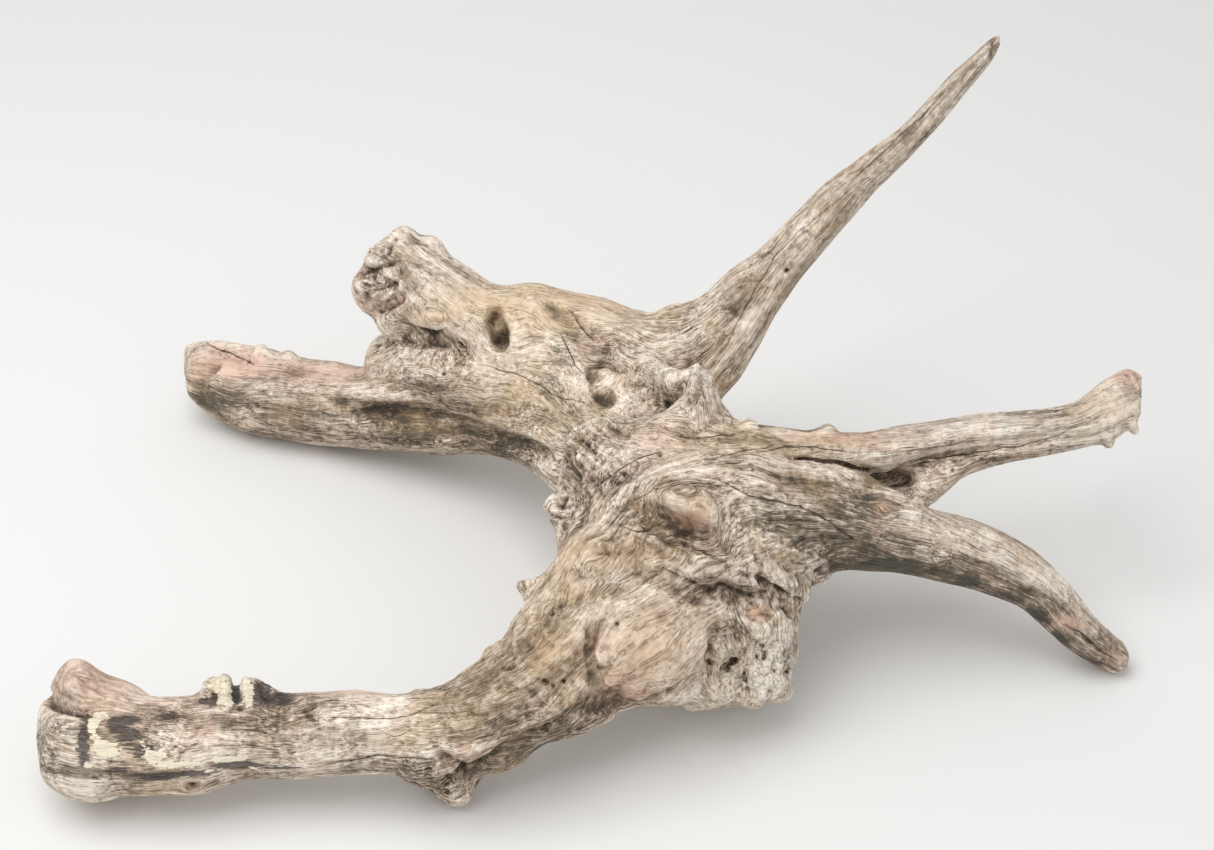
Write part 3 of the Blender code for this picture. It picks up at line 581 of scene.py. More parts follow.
FOLDS = (
    Fold(0.0040, -0.0045, ((402, 260), (380, 268), (356, 274))),
    Fold(0.0040, -0.0045, ((404, 280), (382, 290), (360, 298))),
    Fold(0.0035, -0.0035, ((408, 296), (392, 306), (376, 316))),
    Fold(0.0035, -0.0035, ((398, 236), (390, 248), (384, 262))),
    Fold(0.0045, 0.0030, ((400, 270), (380, 279), (360, 286))),
    Fold(0.0045, 0.0030, ((404, 288), (384, 298), (366, 308))),
    Fold(0.0040, 0.0035, ((422, 320), (434, 316), (448, 318))),
    Fold(0.0035, -0.0035, ((420, 330), (434, 332), (450, 331))),
    Fold(0.0040, -0.0025, ((398, 340), (428, 345), (456, 347))),
    Fold(0.0030, -0.0024, ((508, 302), (515, 314), (524, 326))),
    Fold(0.0030, -0.0036, ((217, 674), (216, 688), (214, 702))),
    Fold(0.0030, -0.0040, ((234, 676), (235, 690), (237, 706))),
    Fold(0.0030, -0.0030, ((258, 678), (262, 692), (270, 704))),
    Fold(0.0026, 0.0024, ((224, 674), (224, 688), (226, 704))),
    Fold(0.0026, 0.0024, ((247, 676), (247, 690), (249, 706))),
    Fold(0.0026, 0.0020, ((206, 680), (204, 690), (200, 700))),
    Fold(0.0026, 0.0020, ((268, 686), (274, 696), (282, 706))),
    Fold(0.0050, 0.0045, ((660, 494), (680, 501), (704, 516))),
    Fold(0.0060, -0.0030, ((652, 512), (670, 524), (692, 536), (716, 530))),
    Fold(0.0030, 0.0016, ((638, 502), (660, 488), (700, 482), (732, 490), (746, 512), (740, 536))),
    Fold(0.0026, -0.0014, ((632, 498), (660, 482), (700, 476), (738, 484), (756, 508), (752, 540))),
    Fold(0.0030, 0.0016, ((630, 488), (660, 474), (704, 468), (748, 478), (790, 492))),
    Fold(0.0030, -0.0030, ((680, 540), (692, 546), (710, 558))),
    Fold(0.0030, -0.0036, ((656, 568), (680, 575), (700, 586), (722, 593))),
    Fold(0.0035, 0.0026, ((660, 561), (684, 567), (706, 578), (728, 585))),
    Fold(0.0030, -0.0036, ((708, 577), (738, 592), (764, 598))),
    Fold(0.0035, 0.0026, ((714, 569), (742, 582), (768, 588))),
    Fold(0.0030, -0.0036, ((734, 572), (762, 580), (790, 597))),
    Fold(0.0035, 0.0026, ((742, 564), (768, 572), (794, 586))),
    Fold(0.0030, -0.0036, ((776, 590), (790, 596), (806, 602))),
    Fold(0.0030, -0.0030, ((786, 560), (804, 566), (820, 574))),
    Fold(0.0035, 0.0024, ((790, 552), (810, 558), (828, 564))),
    Fold(0.0080, 0.0072, ((724, 656), (733, 666), (740, 676))),
    Fold(0.0050, 0.0040, ((778, 668), (788, 672))),
    Fold(0.0040, 0.0036, ((712, 640), (720, 650), (718, 664))),
    Fold(0.0044, -0.0020, ((722, 674), (730, 666), (738, 654))),
    Fold(0.0044, 0.0040, ((716, 688), (726, 694), (736, 690))),
    Fold(0.0034, -0.0036, ((728, 706), (734, 698), (742, 694))),
    Fold(0.0044, 0.0040, ((744, 700), (752, 704), (762, 700))),
    Fold(0.0034, -0.0034, ((766, 706), (770, 698), (772, 688))),
    Fold(0.0040, 0.0036, ((750, 668), (758, 676), (756, 688))),
    Fold(0.0035, -0.0022, ((720, 684), (722, 664), (732, 656), (742, 662))),
    Fold(0.0045, 0.0030, ((738, 640), (750, 652), (754, 680))),
    Fold(0.0040, -0.0030, ((744, 638), (762, 646), (768, 662))),
    Fold(0.0035, -0.0028, ((766, 668), (780, 672), (794, 668))),
    Fold(0.0040, 0.0026, ((764, 656), (780, 660), (796, 656))),
    Fold(0.0035, -0.0026, ((740, 694), (760, 690), (784, 696))),
    Fold(0.0035, -0.0028, ((700, 690), (708, 674), (712, 656))),
    Fold(0.0070, -0.0022, ((600, 614), (588, 638), (590, 668), (606, 692), (632, 704))),
    Fold(0.0060, 0.0036, ((612, 628), (602, 648), (606, 670), (620, 688))),
    Fold(0.0036, 0.0034, ((592, 650), (600, 657), (610, 660))),
    Fold(0.0030, -0.0034, ((594, 666), (604, 667), (614, 664))),
    Fold(0.0036, 0.0034, ((602, 676), (612, 679), (624, 676))),
    Fold(0.0030, -0.0030, ((608, 690), (617, 687), (626, 680))),
    Fold(0.0040, 0.0036, ((620, 696), (630, 692), (640, 684))),
    Fold(0.0030, -0.0026, ((640, 698), (646, 690), (650, 680))),
    Fold(0.0030, -0.0016, ((622, 640), (640, 628), (662, 628), (678, 644), (680, 664))),
    Fold(0.0030, 0.0014, ((628, 652), (644, 640), (660, 642), (668, 656))),
    Fold(0.0030, -0.0018, ((656, 616), (668, 622), (678, 634))),
    Fold(0.0030, 0.0018, ((640, 660), (664, 648), (690, 652))),
    Fold(0.0034, -0.0020, ((640, 672), (664, 662), (690, 666))),
    Fold(0.0045, 0.0034, ((500, 672), (508, 676), (514, 684))),
    Fold(0.0040, -0.0030, ((496, 688), (508, 692), (520, 690))),
    Fold(0.0045, 0.0030, ((520, 692), (528, 697), (536, 704))),
    Fold(0.0040, -0.0030, ((534, 680), (546, 682), (556, 688))),
    Fold(0.0045, 0.0030, ((466, 700), (478, 704), (490, 702))),
    Fold(0.0040, -0.0030, ((466, 712), (478, 716), (492, 714))),
    Fold(0.0050, 0.0034, ((436, 738), (462, 752), (488, 744))),
    Fold(0.0045, -0.0040, ((434, 748), (462, 764), (490, 754))),
    Fold(0.0045, 0.0026, ((540, 606), (556, 614), (566, 628))),
    Fold(0.0040, -0.0026, ((530, 616), (546, 624), (556, 638))),
    Fold(0.0045, 0.0026, ((566, 560), (586, 566), (606, 562))),
    Fold(0.0040, -0.0026, ((566, 572), (588, 576), (610, 572))),
    Fold(0.0040, 0.0026, ((590, 540), (612, 544), (636, 540))),
    Fold(0.0036, -0.0026, ((590, 550), (614, 553), (640, 549))),
    Fold(0.0040, 0.0024, ((620, 530), (640, 536), (660, 540))),
    Fold(0.0045, -0.0042, ((589, 364), (592, 382), (598, 398), (612, 407))),
    Fold(0.0050, 0.0024, ((602, 366), (610, 384), (624, 396))),
    Fold(0.0050, 0.0050, ((690, 398), (695, 378), (700, 356))),
    Fold(0.0028, 0.0020, ((188, 379), (214, 384), (240, 384), (262, 376))),
    Fold(0.0040, 0.0030, ((566, 440), (580, 448), (590, 462))),
    Fold(0.0036, -0.0040, ((574, 436), (588, 444), (600, 456))),
    Fold(0.0036, -0.0036, ((562, 458), (574, 468), (586, 484))),
    Fold(0.0040, 0.0030, ((600, 430), (612, 438), (622, 448))),
    Fold(0.0036, -0.0030, ((608, 424), (620, 432), (632, 440))),
    Fold(0.0036, -0.0034, ((590, 478), (600, 488), (604, 500))),
    Fold(0.0036, -0.0050, ((38, 690), (50, 703), (66, 711), (94, 717))),
    Fold(0.0036, 0.0016, ((44, 680), (62, 698), (90, 709))),
    Fold(0.0030, -0.0016, ((70, 664), (86, 684), (112, 700))),
    Fold(0.0040, 0.0018, ((872, 548), (930, 560), (1000, 586), (1052, 622))),
    Fold(0.0036, 0.0020, ((1056, 612), (1078, 622), (1100, 640))),
    Fold(0.0030, -0.0024, ((1060, 626), (1080, 636), (1104, 654))),
    Fold(0.0022, 0.0034, ((750, 607), (754, 611), (758, 614))),
    Fold(0.0018, 0.0030, ((756, 604), (759, 608), (760, 612))),
    Fold(0.0022, 0.0034, ((877, 504), (881, 508), (885, 511))),
    Fold(0.0018, -0.0024, ((744, 614), (750, 619), (758, 620))),
    Fold(0.0042, 0.0050, ((1106, 432), (1108, 440), (1110, 446), (1112, 452))),
    Fold(0.0042, 0.0050, ((1128, 416), (1131, 424), (1134, 430), (1136, 436))),
    Fold(0.0080, 0.0028, ((976, 66), (988, 52), (998, 40), (1006, 30))),
    Fold(0.0036, 0.0026, ((1048, 612), (1056, 618), (1064, 628))),
    Fold(0.0034, -0.0022, ((1060, 606), (1072, 616), (1082, 626))),
)

BORES = (
    Bore(443, 374, 0.0030, 0.0060),
    Bore(430, 394, 0.0028, 0.0050),
    Bore(441, 402, 0.0030, 0.0060),
    Bore(359, 395, 0.0022, 0.0040),
    Bore(461, 344, 0.0040, 0.0050),
    Bore(787, 271, 0.0030, 0.0060),
    Bore(711, 296, 0.0020, 0.0040),
    Bore(953, 470, 0.0024, 0.0040),
    Bore(248, 361, 0.0030, 0.0040),
    Bore(192, 787, 0.0070, 0.0050),
    Bore(685, 545, 0.0030, 0.0034),
    Bore(660, 454, 0.0028, 0.0050),
    Bore(786, 672, 0.0026, 0.0030),
    Bore(774, 694, 0.0022, 0.0030),
    Bore(552, 614, 0.0024, 0.0040),
    Bore(546, 683, 0.0035, 0.0040),
    Bore(564, 681, 0.0030, 0.0040),
    Bore(617, 624, 0.0024, 0.0040),
    Bore(1128, 376, 0.0036, 0.0040),
    Bore(666, 405, 0.0050, 0.0060),
    Bore(1079, 452, 0.0020, 0.0030),
)


class Area(Enum):
    """Kinds of area that the skin is treated in."""

    GNARLED = "gnarled"
    ROPY = "ropy"
    PINK = "pink"
    OCHRE = "ochre"
    GREEN_STAIN_AND_SHADE = "green"
    DARK_STAIN_AND_SHADE = "dark"
    PALE = "pale"
    SOFT = "soft"
    CREAM = "cream"
    BLACK = "black"


AREAS: dict[Area, tuple[Spot, ...]] = {
    Area.GNARLED: (
        Spot(592, 456, 44, 40), Spot(745, 668, 52, 44, 1.1), Spot(440, 778, 44, 24),
        Spot(560, 716, 50, 22), Spot(770, 600, 44, 30), Spot(382, 280, 28, 36),
        Spot(540, 640, 70, 60, 0.6), Spot(640, 545, 60, 26, 0.6), Spot(820, 574, 26, 16),
        Spot(560, 510, 26, 26), Spot(640, 700, 40, 14, 0.7), Spot(480, 700, 40, 40, 0.4),
        Spot(1115, 430, 18, 16, 0.6), Spot(230, 688, 34, 18, 0.9), Spot(1110, 650, 26, 22, 0.4),
        Spot(76, 684, 34, 26, 0.45), Spot(1136, 386, 14, 20, 0.5),
    ),
    Area.ROPY: (
        Spot(720, 520, 110, 60), Spot(640, 480, 60, 40), Spot(730, 580, 90, 34),
        Spot(850, 500, 60, 50, 0.7), Spot(600, 600, 70, 50, 0.5), Spot(480, 370, 70, 40, 0.5),
        Spot(650, 370, 60, 50, 0.4), Spot(520, 690, 70, 50, 0.6),
    ),
    Area.PINK: (
        Spot(92, 682, 50, 26, 0.8), Spot(220, 364, 44, 18), Spot(320, 372, 60, 12, 0.8),
        Spot(1128, 374, 18, 12), Spot(650, 655, 44, 36, 0.45), Spot(616, 681, 14, 14, 1.2),
        Spot(1120, 656, 12, 10, 0.5), Spot(170, 704, 60, 10, 0.5), Spot(850, 438, 40, 7, 0.8),
        Spot(692, 518, 15, 8, 1.4), Spot(755, 612, 7, 6, 2.0), Spot(882, 508, 6, 6, 2.0),
        Spot(396, 304, 16, 8, 0.8), Spot(192, 787, 8, 7, 1.2), Spot(632, 692, 18, 10, 1.0),
        Spot(1070, 624, 11, 6, 1.1), Spot(466, 756, 14, 10, 0.6),
    ),
    Area.OCHRE: (
        Spot(560, 310, 70, 26), Spot(430, 318, 26, 7), Spot(540, 400, 60, 22, 0.6),
        Spot(690, 518, 13, 7, 0.8), Spot(755, 612, 6, 5, 1.0), Spot(882, 508, 5, 5, 1.0),
        Spot(620, 556, 50, 16, 0.8), Spot(1110, 406, 24, 18, 0.6), Spot(690, 440, 60, 14, 0.4),
        Spot(470, 300, 40, 16, 0.7), Spot(440, 426, 50, 10, 0.4), Spot(820, 442, 60, 8, 0.5),
        Spot(556, 640, 46, 46, 0.6), Spot(652, 652, 44, 36, 0.6), Spot(500, 680, 40, 30, 0.4),
        Spot(540, 370, 60, 40, 0.4),
    ),
    # Greenish spots: green staining on the wood, and painted shade in the bands along the lower limbs'
    # undersides.
    Area.GREEN_STAIN_AND_SHADE: (
        Spot(214, 398, 30, 13, 1.5), Spot(775, 515, 26, 26, 0.8), Spot(848, 524, 42, 26),
        Spot(890, 566, 50, 10, 1.3), Spot(960, 578, 44, 11, 1.3), Spot(1020, 604, 30, 13, 1.3),
        Spot(1066, 646, 24, 14, 1.2), Spot(560, 352, 24, 40, 0.5), Spot(745, 668, 60, 40, 0.2),
        Spot(66, 752, 36, 40, 0.7), Spot(800, 550, 40, 24, 0.7), Spot(1090, 434, 24, 8, 0.6),
        Spot(830, 428, 14, 6, 0.8),
    ),
    # Darker spots: some are stains and crust on the wood, most are painted shade under the limbs, along
    # their undersides and in the recesses.
    Area.DARK_STAIN_AND_SHADE: (
        Spot(590, 462, 36, 34, 0.2), Spot(666, 405, 14, 8, 0.8), Spot(584, 668, 20, 28, 0.5),
        Spot(600, 706, 44, 12, 0.9), Spot(540, 726, 70, 16, 0.8), Spot(440, 788, 40, 18, 0.6),
        Spot(430, 414, 90, 12, 0.8), Spot(300, 432, 90, 10, 0.7), Spot(676, 530, 34, 12, 0.8),
        Spot(730, 588, 60, 9, 0.7), Spot(846, 540, 50, 20, 0.8), Spot(880, 566, 40, 8, 1.8),
        Spot(925, 571, 32, 8, 1.8), Spot(968, 580, 28, 9, 1.8), Spot(1008, 595, 24, 10, 1.8),
        Spot(1036, 616, 16, 12, 1.8), Spot(1060, 640, 14, 12, 1.6), Spot(1084, 660, 18, 9, 1.3),
        Spot(300, 703, 50, 9, 0.8), Spot(430, 342, 30, 8, 0.7), Spot(500, 332, 12, 26, 0.5),
        Spot(604, 402, 18, 12, 0.8), Spot(874, 479, 15, 8, 1.7), Spot(500, 650, 60, 60, 0.3),
        Spot(560, 670, 50, 40, 0.4), Spot(620, 480, 30, 8, 0.5), Spot(390, 268, 18, 22, 0.1),
        Spot(214, 399, 30, 12, 1.5), Spot(595, 386, 5, 18, 0.7), Spot(608, 405, 14, 6, 0.6),
        Spot(178, 714, 22, 6, 0.8), Spot(990, 458, 60, 6, 0.6), Spot(240, 740, 90, 30, 0.3),
        Spot(800, 540, 50, 30, 0.4), Spot(500, 446, 60, 14, 1.0), Spot(420, 434, 60, 14, 1.1),
        Spot(650, 548, 60, 14, 0.9), Spot(866, 552, 34, 16, 1.0), Spot(500, 764, 60, 20, 0.8),
        Spot(1090, 642, 16, 5, 1.0), Spot(1100, 654, 26, 14, 0.8), Spot(800, 486, 50, 16, 0.9),
        Spot(852, 500, 30, 14, 0.8), Spot(790, 458, 90, 26, 0.35), Spot(740, 630, 20, 10, 0.3),
        Spot(190, 744, 34, 14, 0.5), Spot(292, 738, 50, 16, 0.55), Spot(845, 516, 40, 16, 0.9),
        Spot(500, 690, 34, 20, 0.75), Spot(640, 600, 36, 14, 0.3), Spot(700, 410, 30, 30, 0.2),
        Spot(700, 385, 14, 20, 0.3), Spot(48, 745, 16, 40, 0.45), Spot(994, 46, 8, 12, 0.9),
        Spot(430, 388, 40, 8, 0.4), Spot(733, 660, 7, 6, 0.5), Spot(368, 292, 12, 30, 0.4),
        Spot(566, 694, 26, 30, 0.7), Spot(460, 352, 40, 24, 0.5), Spot(640, 432, 40, 12, 0.5),
        Spot(664, 480, 30, 10, 0.5), Spot(700, 500, 44, 24, 0.45), Spot(80, 680, 40, 26, 0.35),
        Spot(720, 480, 70, 8, 0.35), Spot(60, 670, 20, 16, 0.5), Spot(232, 420, 40, 12, 0.6),
        Spot(910, 132, 20, 30, 0.4), Spot(640, 524, 20, 14, 0.6),
    ),
    Area.PALE: (
        Spot(1100, 432, 30, 8, 0.9), Spot(1120, 404, 26, 20, 0.5), Spot(640, 456, 40, 20, 0.5),
        Spot(560, 380, 50, 40, 0.4), Spot(746, 674, 44, 34, 1.9), Spot(900, 420, 90, 14, 0.4),
        Spot(600, 600, 40, 26, 0.25), Spot(370, 696, 40, 6, 0.6), Spot(350, 750, 60, 16, 0.4),
        Spot(920, 515, 40, 12, 0.4), Spot(50, 716, 20, 12, 0.6), Spot(728, 668, 40, 30, 0.9),
        Spot(790, 590, 20, 20, 0.7), Spot(846, 470, 40, 12, 0.9), Spot(744, 510, 24, 20, 0.6),
        Spot(1010, 428, 60, 14, 0.7), Spot(1086, 428, 34, 16, 1.4), Spot(1040, 580, 50, 16, 0.8),
        Spot(130, 706, 30, 12, 0.9), Spot(390, 722, 40, 14, 0.7), Spot(560, 309, 50, 16, 0.9),
        Spot(684, 372, 26, 20, 0.6), Spot(604, 610, 30, 26, 0.35),
    ),
    Area.SOFT: (
        Spot(540, 600, 60, 40, 0.6), Spot(640, 400, 60, 40, 0.5), Spot(770, 585, 50, 30, 0.4),
        Spot(600, 440, 50, 30, 0.4), Spot(800, 468, 80, 34, 0.7), Spot(700, 462, 60, 26, 0.5),
        Spot(850, 540, 60, 22, 0.5), Spot(656, 650, 60, 50), Spot(700, 505, 34, 26, 0.6),
        Spot(740, 310, 24, 34), Spot(790, 256, 24, 34), Spot(840, 200, 24, 34), Spot(900, 145, 24, 34),
        Spot(958, 86, 24, 34), Spot(990, 50, 14, 20), Spot(240, 366, 70, 22), Spot(340, 376, 50, 18),
        Spot(560, 312, 80, 26, 0.8), Spot(450, 300, 50, 40, 0.8), Spot(900, 425, 80, 14, 0.8),
        Spot(1000, 425, 80, 18, 0.8), Spot(1110, 405, 40, 30), Spot(80, 680, 50, 30, 0.6),
        Spot(560, 640, 90, 60, 0.7), Spot(500, 690, 60, 50, 0.6), Spot(940, 530, 60, 20, 0.6),
        Spot(1030, 570, 50, 24, 0.6), Spot(1100, 640, 40, 30, 0.6), Spot(300, 410, 80, 24, 0.6),
        Spot(480, 390, 60, 30, 0.5), Spot(620, 560, 60, 30, 0.4), Spot(740, 670, 50, 40, 0.5),
        Spot(350, 735, 80, 30, 0.4),
    ),
    Area.CREAM: (
        Spot(93, 726, 5, 11), Spot(101, 716, 8, 4), Spot(97, 744, 5, 10), Spot(108, 753, 12, 5),
        Spot(112, 746, 5, 4), Spot(145, 742, 5, 4, 0.9), Spot(155, 757, 11, 8), Spot(168, 764, 12, 5),
        Spot(192, 764, 12, 2.4), Spot(230, 759, 16, 3.4), Spot(212, 771, 10, 2, 0.9),
        Spot(254, 769, 9, 2, 0.9), Spot(90, 766, 6, 4, 0.8), Spot(219, 683, 8, 9), Spot(224, 693, 7, 9),
        Spot(228, 702, 5, 4), Spot(246, 680, 7, 6), Spot(248, 693, 5, 11),
    ),
    Area.BLACK: (
        Spot(83, 742, 5, 26), Spot(118, 725, 10, 8), Spot(130, 738, 11, 9), Spot(144, 751, 12, 7),
        Spot(126, 719, 16, 3), Spot(170, 716, 10, 4, 0.8), Spot(184, 774, 30, 3),
        Spot(150, 777, 30, 3.5, 0.9), Spot(236, 765, 30, 4), Spot(280, 768, 22, 3, 0.7),
        Spot(120, 770, 14, 3, 0.8), Spot(236, 692, 4, 12), Spot(262, 690, 9, 12),
        Spot(276, 700, 16, 7, 0.9), Spot(208, 702, 12, 4, 0.8), Spot(62, 722, 12, 3, 0.5),
    ),
}

AREA_LAYERS: dict[str, tuple[Area, ...]] = {
    "tints": (Area.PINK, Area.OCHRE, Area.GREEN_STAIN_AND_SHADE),
    "shades": (Area.DARK_STAIN_AND_SHADE, Area.PALE, Area.GNARLED),
    "paint": (Area.CREAM, Area.BLACK, Area.SOFT),
}


@dataclass
class Carver:
    """Carves the wood's relief into a fine mesh, and measures what its finish needs."""

    picture: Picture
    tree: BVHTree
    coarse_relief: float = 0.0013
    medium_relief: float = 0.0008
    fine_relief: float = 0.0004
    groove_depth: float = 0.0010
    gnarl_relief: float = 0.0052
    ropy_relief: float = 0.0022
    coarse_streak: Size = (0.017, 0.160)
    medium_streak: Size = (0.0085, 0.100)
    fine_streak: Size = (0.0045, 0.060)
    groove_streak: Size = (0.0095, 0.120)
    rope_streak: Size = (0.011, 0.085)
    groove_share: float = 0.22
    wrinkle_spacing: float = 0.015
    fold_wobble: float = 0.35
    fold_wobble_spacing: float = 0.011
    crack_reach: float = 0.006
    crack_wander: float = 0.0016
    crack_wander_spacings: Size = (0.016, 0.005)
    crack_lip: float = 0.0008
    widest_place: float = 9.0
    bore_wobble: float = 0.15
    bore_wobble_spacing: float = 0.006
    spot_least_depth: float = 0.015
    spot_depth_share: float = 1.4
    spot_fading: float = 0.7
    search: float = 0.6

    def seen(self, px: float, py: float) -> np.ndarray:
        """Where the skin is first met at a pixel.

        Args:
            px: the pixel's place across.
            py: the pixel's place down.

        Returns:
            The place, or for a pixel beside the wood the skin's nearest one to its line of sight.
        """
        eye, ray = Vector(self.picture.eye), Vector(self.picture.ray(px, py)).normalized()
        hit = self.tree.ray_cast(eye, ray)[0]
        if hit is None:
            shifts = np.linspace(-self.search, self.search, 49)
            stops = (eye + ray * (self.picture.distance + shift) for shift in shifts)
            hit = min((self.tree.find_nearest(stop) for stop in stops), key=lambda found: found[3])[0]
        return np.array(hit, np.float32)

    def grain(self) -> Grain:
        """The wood's grain, with its knots placed on the skin."""
        places = np.array([self.seen(knot.px, knot.py) for knot in KNOTS], np.float32)
        return Grain(self.picture, GUIDES, KNOTS, places)

    def area(self, kind: Area, skin: Skin) -> np.ndarray:
        """How strongly each point belongs to the areas of one kind.

        Each spot is a Gaussian over its half sizes across and up the picture, and fades with the
        depth behind the seen skin, so that it does not reach the far side.

        Args:
            kind: of area.
            skin: the points.

        Returns:
            One weight a point, zero off the areas.
        """
        total = np.zeros(len(skin.points), np.float32)
        for spot in AREAS[kind]:
            offset = skin.points - self.seen(spot.px, spot.py)
            wide, tall = spot.across * self.picture.pixel, spot.upright * self.picture.pixel
            deep = max(wide, tall, self.spot_least_depth) * self.spot_depth_share
            own = np.stack([
                offset @ self.picture.rightward / wide,
                offset @ self.picture.upward / tall,
                offset @ self.picture.forward / deep,
            ], 1)
            total = np.maximum(total, spot.strength * np.exp(-self.spot_fading * (own**2).sum(1)))
        return total.astype(np.float32)

    def beside(
        self, path: tuple[Pixel, ...], reach: float, skin: Skin
    ) -> tuple[np.ndarray, np.ndarray, np.ndarray, np.ndarray]:
        """The points near a line of pixels on the skin, and where they lie along it.

        Args:
            path: the pixels.
            reach: how far off the line a point still counts, in metres.
            skin: the points.

        Returns:
            The near points' numbers, their distances from the line, their distances to its side
            with a sign, and their shares of the way along it.
        """
        line = np.array([self.seen(*pixel) for pixel in smooth_curve(np.array(path, float), 6)])
        low, high = line.min(0) - reach, line.max(0) + reach
        near = np.flatnonzero(((skin.points > low) & (skin.points < high)).all(1))
        here = skin.points[near]
        away = np.full(len(near), 1.0, np.float32)
        side = np.zeros(len(near), np.float32)
        share = np.zeros(len(near), np.float32)
        for number, (start, end) in enumerate(zip(line, line[1:])):
            way = end - start
            part = np.clip((here - start) @ way / max(way @ way, TINY), 0, 1)
            offset = here - start - part[:, None] * way
            distance = np.linalg.norm(offset, axis=1)
            closer = distance < away
            away[closer] = distance[closer]
            side[closer] = (offset @ unit(np.cross(way, self.picture.forward)))[closer]
            share[closer] = ((number + part) / (len(line) - 1))[closer]
        return near, away, side, share

    def folds(self, skin: Skin) -> np.ndarray:
        """Height of the ridges and furrows: a Gaussian across each, thinning to its ends.

        Args:
            skin: the points.

        Returns:
            One height a point.
        """
        height = np.zeros(len(skin.points), np.float32)
        wobble = 1 + self.fold_wobble * Swells(Seed.FOLDS).at(skin.points / self.fold_wobble_spacing)
        for fold in FOLDS:
            near, away, _, share = self.beside(fold.path, 3 * fold.width, skin)
            thinning = ease(np.sin(math.pi * share) * 1.6)
            height[near] += fold.height * thinning * np.exp(-((away * wobble[near] / fold.width) ** 2))
        return height

    def cracks(self, skin: Skin) -> tuple[np.ndarray, np.ndarray, np.ndarray]:
        """The drawn cracks at each point.

        Args:
            skin: the points.

        Returns:
            The depth there, the place across the nearest crack in half widths, negative on one
            side so that a face can show a line much finer than itself, and how near the crack is.
        """
        depth = np.zeros(len(skin.points), np.float32)
        place = np.full(len(skin.points), self.widest_place, np.float32)
        nearness = np.zeros(len(skin.points), np.float32)
        least = np.full(len(skin.points), 1.0, np.float32)
        bends, jags = self.crack_wander_spacings
        wander = Swells(Seed.CRACKS).at(skin.points / bends)
        wander = self.crack_wander * (wander + 0.4 * Swells(Seed.SMALL_CRACKS).at(skin.points / jags))
        for crack in CRACKS:
            near, away, side, share = self.beside(crack.path, self.crack_reach, skin)
            side = side + wander[near]
            wide = crack.width * np.sqrt(np.clip(1 - (2 * share - 1) ** 2, 0.04, 1))
            across = np.where(away < self.crack_reach * 0.8, np.abs(side), 1)
            cut = crack.depth * ease(1.4 - across / (wide + self.crack_lip))
            depth[near] = np.maximum(depth[near], cut)
            closer = away < least[near]
            chosen = near[closer]
            least[chosen] = away[closer]
            place[chosen] = (side / wide)[closer]
            nearness[chosen] = ease(2 - 2 * away / self.crack_reach)[closer]
        return depth, np.clip(place, -self.widest_place, self.widest_place), nearness

    def bores(self, skin: Skin) -> tuple[np.ndarray, np.ndarray]:
        """The worm holes and pits.

        Args:
            skin: the points.

        Returns:
            Each point's depth in one, and how far it is inside one, from 0 to 1.
        """
        wobble = Swells(Seed.BORES).at(skin.points / self.bore_wobble_spacing)
        depth = np.zeros(len(skin.points), np.float32)
        inside = np.zeros(len(skin.points), np.float32)
        for bore in BORES:
            away = np.linalg.norm(skin.points - self.seen(bore.px, bore.py), axis=1)
            cut = ease(1.25 - away / bore.radius * (1 + self.bore_wobble * wobble))
            depth = np.maximum(depth, bore.depth * cut)
            inside = np.maximum(inside, cut)
        return depth, inside

    def relief(self, skin: Skin) -> np.ndarray:
        """The whole relief: streaks and grooves along the grain, ropes, crust, folds and cuts.

        Args:
            skin: the points.

        Returns:
            How far each is moved out along its normal, in metres.
        """
        streaks = Streaks(*self.grain().at(skin.points))
        gnarled, ropy = self.area(Area.GNARLED, skin), self.area(Area.ROPY, skin)
        rough = 0.5 + 0.8 * ropy + 0.4 * gnarled
        medium = streaks.of(self.medium_streak, Seed.MEDIUM)
        grooves = 1 - np.abs(streaks.of(self.groove_streak, Seed.GROOVES)) / self.groove_share
        ropes = 1 - 2 * np.abs(streaks.of(self.rope_streak, Seed.ROPES))
        coarse_place = skin.points / self.wrinkle_spacing
        wrinkles = 1 - 2.4 * np.abs(Swells(Seed.WRINKLES).at(coarse_place + 0.5 * medium[:, None]))
        wrinkles += 0.6 * (1 - 2.4 * np.abs(Swells(Seed.SMALL_WRINKLES).at(2 * coarse_place)))
        out = self.coarse_relief * streaks.of(self.coarse_streak, Seed.COARSE)
        out += self.medium_relief * medium
        out += self.fine_relief * streaks.of(self.fine_streak, Seed.FINE)
        out = (out - self.groove_depth * np.clip(grooves, 0, 1) ** 2) * rough
        out += self.ropy_relief * ropy * ropes
        out += self.gnarl_relief * gnarled * (0.4 * wrinkles + 0.3 * medium)
        return out + self.folds(skin) - self.cracks(skin)[0] - self.bores(skin)[0]


